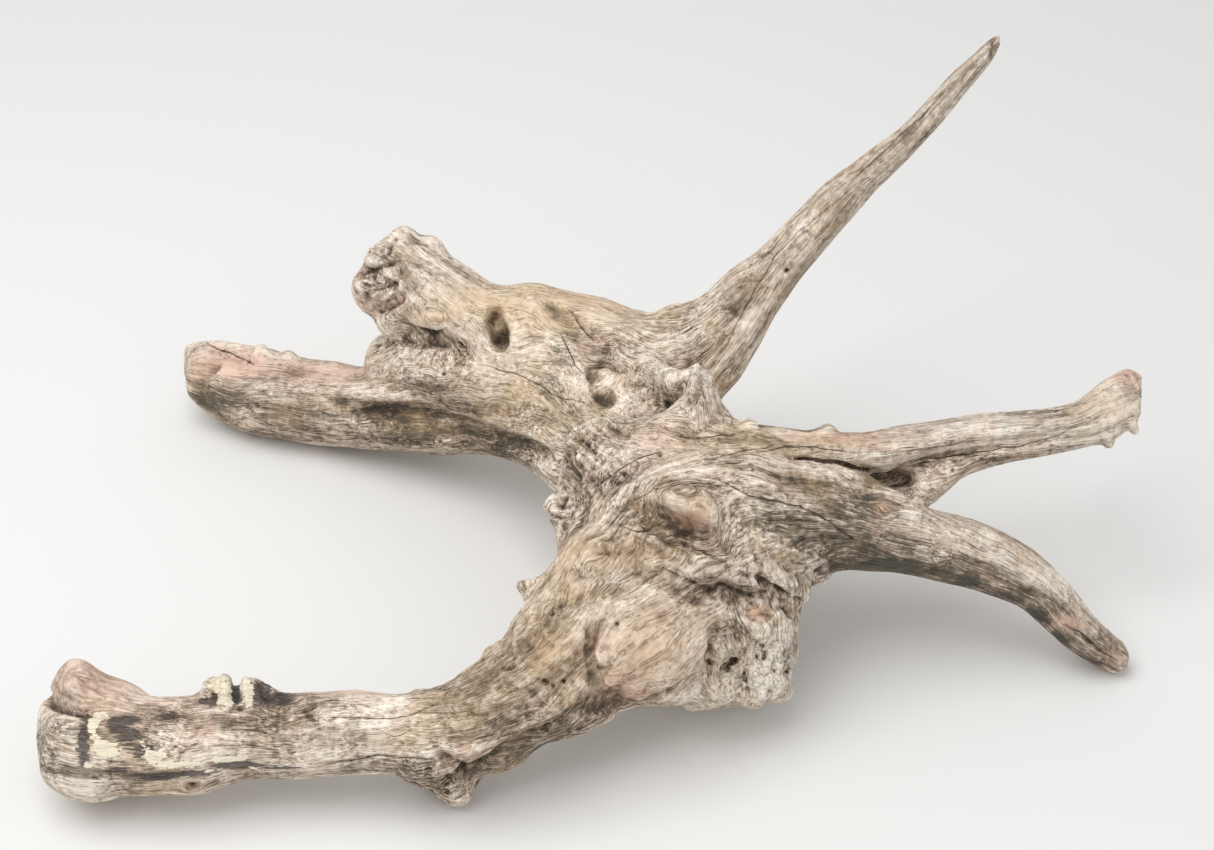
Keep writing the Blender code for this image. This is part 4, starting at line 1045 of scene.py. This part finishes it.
@dataclass
class Driftwood:
    """The piece of driftwood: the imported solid's form, carved and finished."""

    node: bpy.types.Object
    picture: Picture
    voxel: float = 0.0017
    smoothing: int = 9
    smoothing_factor: float = 0.6
    most_triangles: int = 192_000
    merge_distance: float = 1e-5
    close_spread: int = 3
    wide_spread: int = 24
    close_hollow: float = 0.0008
    wide_hollow: float = 0.0050
    close_dirt_and_shade: float = 0.6
    wide_dirt_and_shade: float = 0.7

    def copied(self) -> bpy.types.Object:
        """Copies the node's skin and joins its loose triangles.

        Returns:
            The copy, as an object of its own.
        """
        shape = bmesh.new()
        shape.from_mesh(self.node.data)
        bmesh.ops.remove_doubles(shape, verts=shape.verts, dist=self.merge_distance)
        mesh = bpy.data.meshes.new("carved_driftwood")
        shape.to_mesh(mesh)
        shape.free()
        piece = bpy.data.objects.new("carved_driftwood", mesh)
        bpy.context.scene.collection.objects.link(piece)
        return piece

    def settle(self, piece: bpy.types.Object) -> None:
        """Puts the result of the piece's modifiers into its mesh.

        Args:
            piece: the object.
        """
        graph = bpy.context.evaluated_depsgraph_get()
        mesh = bpy.data.meshes.new_from_object(piece.evaluated_get(graph))
        piece.modifiers.clear()
        old, piece.data = piece.data, mesh
        bpy.data.meshes.remove(old)

    def refine(self, piece: bpy.types.Object) -> None:
        """Draws the skin again as small even faces and smooths the solid's facets away.

        Args:
            piece: the object.
        """
        remesh = piece.modifiers.new("even faces", "REMESH")
        remesh.mode = "VOXEL"
        remesh.voxel_size = self.voxel
        smooth = piece.modifiers.new("no facets", "SMOOTH")
        smooth.factor = self.smoothing_factor
        smooth.iterations = self.smoothing
        self.settle(piece)

    def carve(self, piece: bpy.types.Object, carver: Carver) -> None:
        """Moves every point along its normal by the relief, and keeps all of it above the floor.

        Args:
            piece: the object.
            carver: what gives the relief.
        """
        skin = Skin.of(piece.data)
        points = skin.points + skin.normals * carver.relief(skin)[:, None]
        points[:, 2] = np.maximum(points[:, 2], 0)
        piece.data.vertices.foreach_set("co", points.ravel())
        piece.data.update()

    def thin(self, piece: bpy.types.Object) -> None:
        """Drops triangles where the skin is plain.

        Args:
            piece: the object.
        """
        count = sum(len(face.vertices) - 2 for face in piece.data.polygons)
        fewer = piece.modifiers.new("fewer triangles", "DECIMATE")
        fewer.ratio = min(1.0, self.most_triangles / count)
        self.settle(piece)

    def mark(self, piece: bpy.types.Object, carver: Carver) -> None:
        """Writes what the finish reads at every point: grain coordinates, hollows for grime and painted
        shade, and area weights.

        Args:
            piece: the object.
            carver: what measures the skin.
        """
        mesh = piece.data
        skin = Skin.of(mesh)
        near, far, mix = carver.grain().at(skin.points)
        _, across_crack, crack_near = carver.cracks(skin)
        _, bored = carver.bores(skin)
        # How sunken the skin is: the finish paints shade with some grime in the hollows from it, and
        # lightens the ridges as painted light.
        close, wide = skin.sunkenness(self.close_spread), skin.sunkenness(self.wide_spread)
        dirt_and_shade = np.clip(close / self.close_hollow, -1, 1) * self.close_dirt_and_shade
        dirt_and_shade = dirt_and_shade + np.clip(wide / self.wide_hollow, -1, 1) * self.wide_dirt_and_shade
        for name, values in {"grain_mix": mix, "dirt_and_shade": dirt_and_shade}.items():
            layer = mesh.attributes.new(name, "FLOAT", "POINT")
            layer.data.foreach_set("value", values.astype(np.float32))
        triples = {"grain_near": near, "grain_far": far}
        for name, kinds in AREA_LAYERS.items():
            triples[name] = np.stack([carver.area(kind, skin) for kind in kinds], 1)
        triples["cracks"] = np.stack([across_crack, crack_near, bored], 1)
        for name, values in triples.items():
            layer = mesh.attributes.new(name, "FLOAT_VECTOR", "POINT")
            layer.data.foreach_set("vector", values.astype(np.float32).ravel())

    def build(self) -> bpy.types.Object:
        """The finished piece, which stands for the node.

        Returns:
            The object.
        """
        piece = self.copied()
        self.refine(piece)
        carver = Carver(self.picture, BVHTree.FromObject(piece, bpy.context.evaluated_depsgraph_get()))
        self.carve(piece, carver)
        self.thin(piece)
        self.mark(piece, carver)
        piece.data.shade_smooth()
        piece.data.materials.clear()
        piece.data.materials.append(WeatheredWood().material())
        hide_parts(NODE)
        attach(piece, BODY)
        logger.info("%s: %d faces", piece.name, len(piece.data.polygons))
        return piece


@dataclass
class Shading:
    """A material's nodes, added one at a time."""

    material: bpy.types.Material

    def node(
        self, kind: str, settings: dict[str, object] | None = None, **inputs: object
    ) -> bpy.types.Node:
        """Adds a node.

        Args:
            kind: Blender's type name for it, without ShaderNode.
            settings: its properties, which are set before its sockets.
            **inputs: a value or a Socket for each named socket, with _ for a space, and a number
                after in_ for a socket that is told apart only by its place.

        Returns:
            The node.
        """
        made = self.material.node_tree.nodes.new("ShaderNode" + kind)
        for name, value in (settings or {}).items():
            setattr(made, name, value)
        for name, value in inputs.items():
            if name.startswith("in_"):
                socket = made.inputs[int(name[3:])]
            else:
                socket = made.inputs[name.replace("_", " ")]
            if isinstance(value, Socket):
                self.material.node_tree.links.new(value.socket, socket)
            else:
                socket.default_value = value
        return made

    def attribute(self, name: str, output: str) -> Socket:
        """One of the mesh's own values: its Fac, Vector or Color."""
        found = self.node("Attribute", {"attribute_name": name})
        return Socket(self, found.outputs[output])

    def split(self, vector: Socket) -> tuple[Socket, Socket, Socket]:
        """A vector's three parts."""
        parts = self.node("SeparateXYZ", in_0=vector)
        return tuple(Socket(self, output) for output in parts.outputs)

    def mix(self, share: Socket | float, low: Socket | Rgb, high: Socket | Rgb) -> Socket:
        """One colour changing to another.

        Args:
            share: how far it has changed, from 0 to 1.
            low: the colour at 0.
            high: the colour at 1.

        Returns:
            The mixed colour.
        """
        ends = [end if isinstance(end, Socket) else (*end, 1.0) for end in (low, high)]
        made = self.node("Mix", {"data_type": "RGBA"}, in_0=share, in_6=ends[0], in_7=ends[1])
        return Socket(self, made.outputs[2])

    def noise(self, place: Socket, detail: float, roughness: float = 0.55) -> Socket:
        """Blender's noise at a place, from 0 to 1 and mostly near a half."""
        made = self.node("TexNoise", Vector=place, Scale=1.0, Detail=detail, Roughness=roughness)
        return Socket(self, made.outputs["Fac"])

    def scaled(self, place: Socket, factors: Place, shift: Place = (0, 0, 0)) -> Socket:
        """A place times one factor an axis, plus a shift."""
        made = self.node("VectorMath", {"operation": "MULTIPLY_ADD"}, in_0=place, in_1=factors, in_2=shift)
        return Socket(self, made.outputs[0])


@dataclass(frozen=True)
class Socket:
    """A node's output, so that shader maths is written as Python expressions."""

    shading: Shading
    socket: bpy.types.NodeSocket

    def _math(self, operation: str, *values: object, clamp: bool = False) -> Socket:
        """A Math node over these values."""
        inputs = {f"in_{number}": value for number, value in enumerate(values)}
        made = self.shading.node("Math", {"operation": operation, "use_clamp": clamp}, **inputs)
        return Socket(self.shading, made.outputs[0])

    def __add__(self, other: Socket | float) -> Socket:
        """The sum."""
        return self._math("ADD", self, other)

    __radd__ = __add__

    def __sub__(self, other: Socket | float) -> Socket:
        """The difference."""
        return self._math("SUBTRACT", self, other)

    def __rsub__(self, other: Socket | float) -> Socket:
        """The difference, from the other side."""
        return self._math("SUBTRACT", other, self)

    def __mul__(self, other: Socket | float) -> Socket:
        """The product."""
        return self._math("MULTIPLY", self, other)

    __rmul__ = __mul__

    def __truediv__(self, other: Socket | float) -> Socket:
        """The quotient."""
        return self._math("DIVIDE", self, other)

    def __abs__(self) -> Socket:
        """The value without its sign."""
        return self._math("ABSOLUTE", self)

    def folded(self, length: float) -> Socket:
        """The value as a zigzag between 0 and this length."""
        return self._math("PINGPONG", self, length)

    def held(self) -> Socket:
        """The value kept between 0 and 1."""
        return self._math("ADD", self, 0.0, clamp=True)

    def ramp(self, low: float, high: float) -> Socket:
        """Zero at low, one at high and smooth between. Low may be the greater."""
        made = self.shading.node(
            "MapRange", {"interpolation_type": "SMOOTHSTEP"}, Value=self, From_Min=low, From_Max=high
        )
        return Socket(self.shading, made.outputs["Result"])


@dataclass(frozen=True)
class Streak:
    """Noise drawn out along the grain: size in metres, finer layers, and a shift to keep it apart."""

    width: float
    length: float
    detail: float
    shift: float


@dataclass(frozen=True)
class Blotches:
    """Even noise: swells to a metre, finer layers, how strong those are, and a shift."""

    swells: float
    detail: float
    roughness: float
    shift: Place = (0, 0, 0)


@dataclass(frozen=True)
class Readings:
    """What the skin carries at each point, and the noises over it, as sockets."""

    broad: Socket
    middle: Socket
    fine: Socket
    hair: Socket
    patchy: Socket
    seams: Socket
    nicks: Socket
    cloud: Socket
    mottle: Socket
    wrinkle: Socket
    flake: Socket
    pink: Socket
    ochre: Socket
    green: Socket
    dark: Socket
    pale: Socket
    gnarled: Socket
    cream: Socket
    black: Socket
    soft: Socket
    across_crack: Socket
    crack_near: Socket
    bored: Socket
    dirt_and_shade: Socket


@dataclass(frozen=True)
class Marks:
    """Fine marks on the wood, from 0 to 1, which are both coloured and pressed in."""

    drawn: Socket
    seams: Socket
    nicks: Socket
    chip: Socket


@dataclass(frozen=True)
class WeatheredWood:
    """Dry silver-brown wood: streaks along the grain, warm and greenish tones, grime, painted shade under
    the limbs and in the hollows, and old paint.
    """

    deep: Rgb = linear(65, 59, 51)
    tones: tuple[tuple[float, float, Rgb], ...] = (
        (0.10, 0.36, linear(128, 111, 94)),
        (0.28, 0.50, linear(174, 155, 136)),
        (0.46, 0.66, linear(214, 198, 181)),
        (0.64, 0.92, linear(249, 239, 224)),
    )
    pink: Rgb = linear(220, 180, 160)
    ochre: Rgb = linear(218, 188, 148)
    # Greenish grey: staining in patches, and painted shade along the undersides.
    stain: Rgb = linear(104, 100, 87)
    cream: Rgb = linear(241, 231, 206)
    black: Rgb = linear(66, 61, 61)
    # Deep brown for the creases, cracks and holes, and for the painted shade in the hollows.
    soil_and_shade: Rgb = linear(59, 51, 44)
    broad: Streak = Streak(0.014, 0.150, 3, 0.0)
    middle: Streak = Streak(0.0046, 0.110, 3, 5.0)
    fine: Streak = Streak(0.0018, 0.050, 2, 9.0)
    hair: Streak = Streak(0.0009, 0.022, 1, 3.0)
    patchy: Streak = Streak(0.026, 0.120, 4, 21.0)
    seams: Streak = Streak(0.0130, 0.260, 2, 14.0)
    nicks: Streak = Streak(0.0060, 0.080, 1.5, 17.0)
    cloud: Blotches = Blotches(13, 3, 0.6)
    mottle: Blotches = Blotches(150, 4, 0.65)
    wrinkle: Blotches = Blotches(95, 4, 0.6, (5, 2, 1))
    flake: Blotches = Blotches(150, 3, 0.6)
    seam_lines: float = 11
    nick_lines: float = 9
    middle_tone: float = 0.57
    roughness: float = 0.86
    specular: float = 0.28
    bump_strength: float = 0.9
    bump_distance: float = 0.0026

    def streaks(self, shading: Shading, streak: Streak) -> Socket:
        """Noise drawn out along the grain, blended between both families of grain.

        Args:
            shading: the material's nodes.
            streak: its size, detail and shift.

        Returns:
            A value from 0 to 1, mostly near a half.
        """
        factors = (1 / streak.width, 1 / streak.width, 1 / streak.length)
        shift = (streak.shift, 0, streak.shift)
        near, far = (
            shading.noise(shading.scaled(shading.attribute(name, "Vector"), factors, shift), streak.detail)
            for name in ("grain_near", "grain_far")
        )
        return near + (far - near) * shading.attribute("grain_mix", "Fac")

    def read(self, shading: Shading) -> Readings:
        """Reads the skin's values and lays the noises over it.

        Args:
            shading: the material's nodes.

        Returns:
            The sockets.
        """
        position = Socket(shading, shading.node("TexCoord").outputs["Object"])
        streaks = {
            name: self.streaks(shading, getattr(self, name))
            for name in ("broad", "middle", "fine", "hair", "patchy", "seams", "nicks")
        }
        blotches = {}
        for name in ("cloud", "mottle", "wrinkle", "flake"):
            kind = getattr(self, name)
            place = shading.scaled(position, (kind.swells,) * 3, kind.shift)
            blotches[name] = shading.noise(place, kind.detail, kind.roughness)
        carried = {}
        for layer, kinds in AREA_LAYERS.items():
            values = shading.split(shading.attribute(layer, "Vector"))
            carried.update({kind.value: value for kind, value in zip(kinds, values)})
        names = ("across_crack", "crack_near", "bored")
        carried.update(zip(names, shading.split(shading.attribute("cracks", "Vector"))))
        return Readings(**streaks, **blotches, **carried, dirt_and_shade=shading.attribute("dirt_and_shade", "Fac"))

    def marks(self, read: Readings) -> Marks:
        """Cracks that are drawn, fine seams and nicks along the grain, and chips of pale paint.

        Args:
            read: the surface's values.

        Returns:
            The marks.
        """
        drawn = abs(read.across_crack + (read.hair - 0.5) * 1.2).ramp(1.10, 0.45)
        seams = (read.seams * self.seam_lines).folded(0.5).ramp(0.085, 0.015)
        nicks = (read.nicks * self.nick_lines).folded(0.5).ramp(0.11, 0.02)
        chip = read.cream + (read.flake - 0.5) + (read.middle - 0.5) * 0.9 + (read.fine - 0.5) * 0.6
        return Marks(
            drawn * read.crack_near * read.middle.ramp(0.30, 0.46),
            seams * (read.broad + (read.mottle - 0.5) * 0.6).ramp(0.56, 0.44),
            nicks * (read.patchy + (read.fine - 0.5) * 0.6).ramp(0.50, 0.40),
            chip.ramp(0.53, 0.57) * read.cream.ramp(0.1, 0.35),
        )

    def bare(self, shading: Shading, read: Readings) -> Socket:
        """The bare wood's colour, from deep brown over fawn and silver to bleached.

        Args:
            shading: the material's nodes.
            read: the surface's values.

        Returns:
            The colour.
        """
        grain = (read.middle - 0.5) * 0.36 + (read.fine - 0.5) * 0.72 + (read.hair - 0.5) * 1.12
        tone = self.middle_tone + (read.broad - 0.5) * 0.45 + grain * (1 - read.soft * 0.6)
        tone = tone + (read.cloud - 0.5) * 0.55 + (read.patchy - 0.5) * 0.45
        tone = tone + (read.mottle - 0.5) * (1 - read.soft * 0.35) * 0.98
        # Darker in the darker spots, mostly painted shade, and in the hollows, painted shade with some
        # grime; lighter on the ridges, painted light, and in the pale spots.
        tone = tone - read.dark * 0.34 + read.pale * 0.20 - read.dirt_and_shade * 0.18
        colour = self.deep
        for low, high, lighter in self.tones:
            colour = shading.mix(tone.ramp(low, high), colour, lighter)
        return colour

    def tinted(self, shading: Shading, read: Readings, colour: Socket) -> Socket:
        """Lays pink, ochre and greenish grey over a colour; the greenish grey is partly painted shade
        along the undersides.

        Args:
            shading: the material's nodes.
            read: the surface's values.
            colour: what is tinted.

        Returns:
            The tinted colour.
        """
        pink = read.pink * (0.35 + read.middle * 0.55) + read.cloud.ramp(0.56, 0.70) * 0.34
        ochre = read.ochre * (0.35 + read.broad * 0.50) + read.cloud.ramp(0.47, 0.36) * 0.26
        patches = read.patchy * 0.7 + read.broad * 0.3 + (read.middle - 0.5) * 0.3
        patches = (patches - read.green * 0.20 - read.dark * 0.06).ramp(0.47, 0.34)
        patches = patches * read.fine.ramp(0.75, 0.30) * (1 - read.soft * 0.75)
        # The greenish grey: random patches of staining, with painted shade where the greenish spots run
        # along the undersides.
        stain = patches * 0.55 + read.green * read.fine.ramp(0.62, 0.40) * 0.35
        colour = shading.mix(pink.held(), colour, self.pink)
        colour = shading.mix(ochre.held(), colour, self.ochre)
        return shading.mix(stain.held(), colour, self.stain)

    def soiled_and_shaded(self, shading: Shading, read: Readings, marks: Marks, colour: Socket) -> Socket:
        """Darkens the creases, cracks and holes, and the hollows, where the darkening is painted shade
        with some grime.

        Args:
            shading: the material's nodes.
            read: the surface's values.
            marks: the fine marks.
            colour: what is soiled.

        Returns:
            The soiled colour.
        """
        creases = abs(read.wrinkle - 0.5).ramp(0.055, 0.0)
        soil_and_shade = read.gnarled * creases * 0.50 + marks.drawn * 0.88 + marks.seams * 0.34
        # The hollows' darkening here is painted shade with some grime.
        soil_and_shade = soil_and_shade + marks.nicks * 0.30 + read.bored * 0.80 + read.dirt_and_shade.ramp(0.30, 1.2) * 0.62
        return shading.mix(soil_and_shade.held(), colour, self.soil_and_shade)

    def painted(self, shading: Shading, read: Readings, marks: Marks, colour: Socket) -> Socket:
        """Lays worn black paint over a colour, and chips of cream paint over that.

        Args:
            shading: the material's nodes.
            read: the surface's values.
            marks: the fine marks.
            colour: what is painted.

        Returns:
            The painted colour.
        """
        tar = read.black + (read.flake - 0.5) * 0.9 + (read.fine - 0.5) * 1.3 + (read.middle - 0.5) * 0.9
        tar = tar.ramp(0.46, 0.60) * read.black.ramp(0.05, 0.3)
        colour = shading.mix(tar * 0.85, colour, self.black)
        return shading.mix(marks.chip * 0.95, colour, self.cream)

    def height(self, read: Readings, marks: Marks) -> Socket:
        """How high the finest relief stands, for the bump.

        Args:
            read: the surface's values.
            marks: the fine marks.

        Returns:
            The height.
        """
        height = read.broad * 0.35 + read.middle * 0.5 + read.fine * 0.42 + read.hair * 0.20
        height = height + read.mottle * 0.30
        height = height + read.gnarled * (abs(read.wrinkle - 0.5) * 3.0 + read.mottle * 0.3)
        return height - marks.drawn * 0.8 - marks.seams * 0.35 - marks.nicks * 0.25 + marks.chip * 0.12

    def material(self) -> bpy.types.Material:
        """The finish.

        Returns:
            The material.
        """
        material = bpy.data.materials.new("weathered_driftwood")
        material.use_nodes = True
        material.node_tree.nodes.clear()
        shading = Shading(material)
        read = self.read(shading)
        marks = self.marks(read)
        colour = self.tinted(shading, read, self.bare(shading, read))
        colour = self.painted(shading, read, marks, self.soiled_and_shaded(shading, read, marks, colour))
        bump = shading.node(
            "Bump",
            Strength=self.bump_strength, Distance=self.bump_distance, Height=self.height(read, marks),
        )
        shader = shading.node(
            "BsdfPrincipled",
            Base_Color=colour,
            Roughness=(self.roughness + (read.fine - 0.5) * 0.2 - marks.chip * 0.2).held(),
            Normal=Socket(shading, bump.outputs[0]),
        )
        shader.inputs["Specular IOR Level"].default_value = self.specular
        shading.node("OutputMaterial", Surface=Socket(shading, shader.outputs[0]))
        return material


@dataclass(frozen=True)
class Studio:
    """A plain pale floor under plain soft light."""

    floor_size: float = 14.0
    floor_colour: Rgb = (0.80, 0.80, 0.79)
    floor_roughness: float = 0.9
    sky: float = 0.62
    key_power: float = 62.0
    key_size: float = 2.6
    key_place: Place = (-1.0, -0.5, 2.9)
    fill_power: float = 12.0
    fill_size: float = 3.0
    fill_place: Place = (2.2, -2.4, 1.6)

    def floor(self) -> bpy.types.Object:
        """Adds the floor, marked as stage.

        Returns:
            The floor.
        """
        half = self.floor_size / 2
        mesh = bpy.data.meshes.new("floor")
        corners = [(-half, -half, 0), (half, -half, 0), (half, half, 0), (-half, half, 0)]
        mesh.from_pydata(corners, [], [(0, 1, 2, 3)])
        floor = bpy.data.objects.new("floor", mesh)
        bpy.context.scene.collection.objects.link(floor)
        material = bpy.data.materials.new("pale_floor")
        material.use_nodes = True
        shader = material.node_tree.nodes["Principled BSDF"]
        shader.inputs["Base Color"].default_value = (*self.floor_colour, 1.0)
        shader.inputs["Roughness"].default_value = self.floor_roughness
        mesh.materials.append(material)
        return floor

    def softbox(self, name: str, power: float, size: float, place: Place) -> bpy.types.Object:
        """Adds a square area light that faces the piece.

        Args:
            name: the light's.
            power: in watts.
            size: of its side, in metres.
            place: where it stands.

        Returns:
            The light.
        """
        data = bpy.data.lights.new(name, "AREA")
        data.energy = power
        data.size = size
        light = bpy.data.objects.new(name, data)
        light.location = place
        light.rotation_mode = "QUATERNION"
        light.rotation_quaternion = (-Vector(place)).to_track_quat("-Z", "Y")
        bpy.context.scene.collection.objects.link(light)
        return light

    def build(self) -> None:
        """Floor, sky and lights."""
        world = bpy.data.worlds.new("studio")
        world.use_nodes = True
        background = world.node_tree.nodes["Background"]
        background.inputs["Color"].default_value = (1.0, 1.0, 1.0, 1.0)
        background.inputs["Strength"].default_value = self.sky
        bpy.context.scene.world = world
        bpy.context.scene.view_settings.view_transform = "Standard"
        self.floor()
        self.softbox("key", self.key_power, self.key_size, self.key_place)
        self.softbox("fill", self.fill_power, self.fill_size, self.fill_place)
        logger.info("studio: floor, sky and two softboxes")


def main() -> None:
    """Builds the scene in order."""
    logging.basicConfig(level=logging.INFO, format="%(message)s")
    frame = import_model()
    picture = Picture()
    picture.camera()
    Studio().build()
    Driftwood(frame["nodes"][NODE], picture).build()


if __name__ == "__main__":
    main()
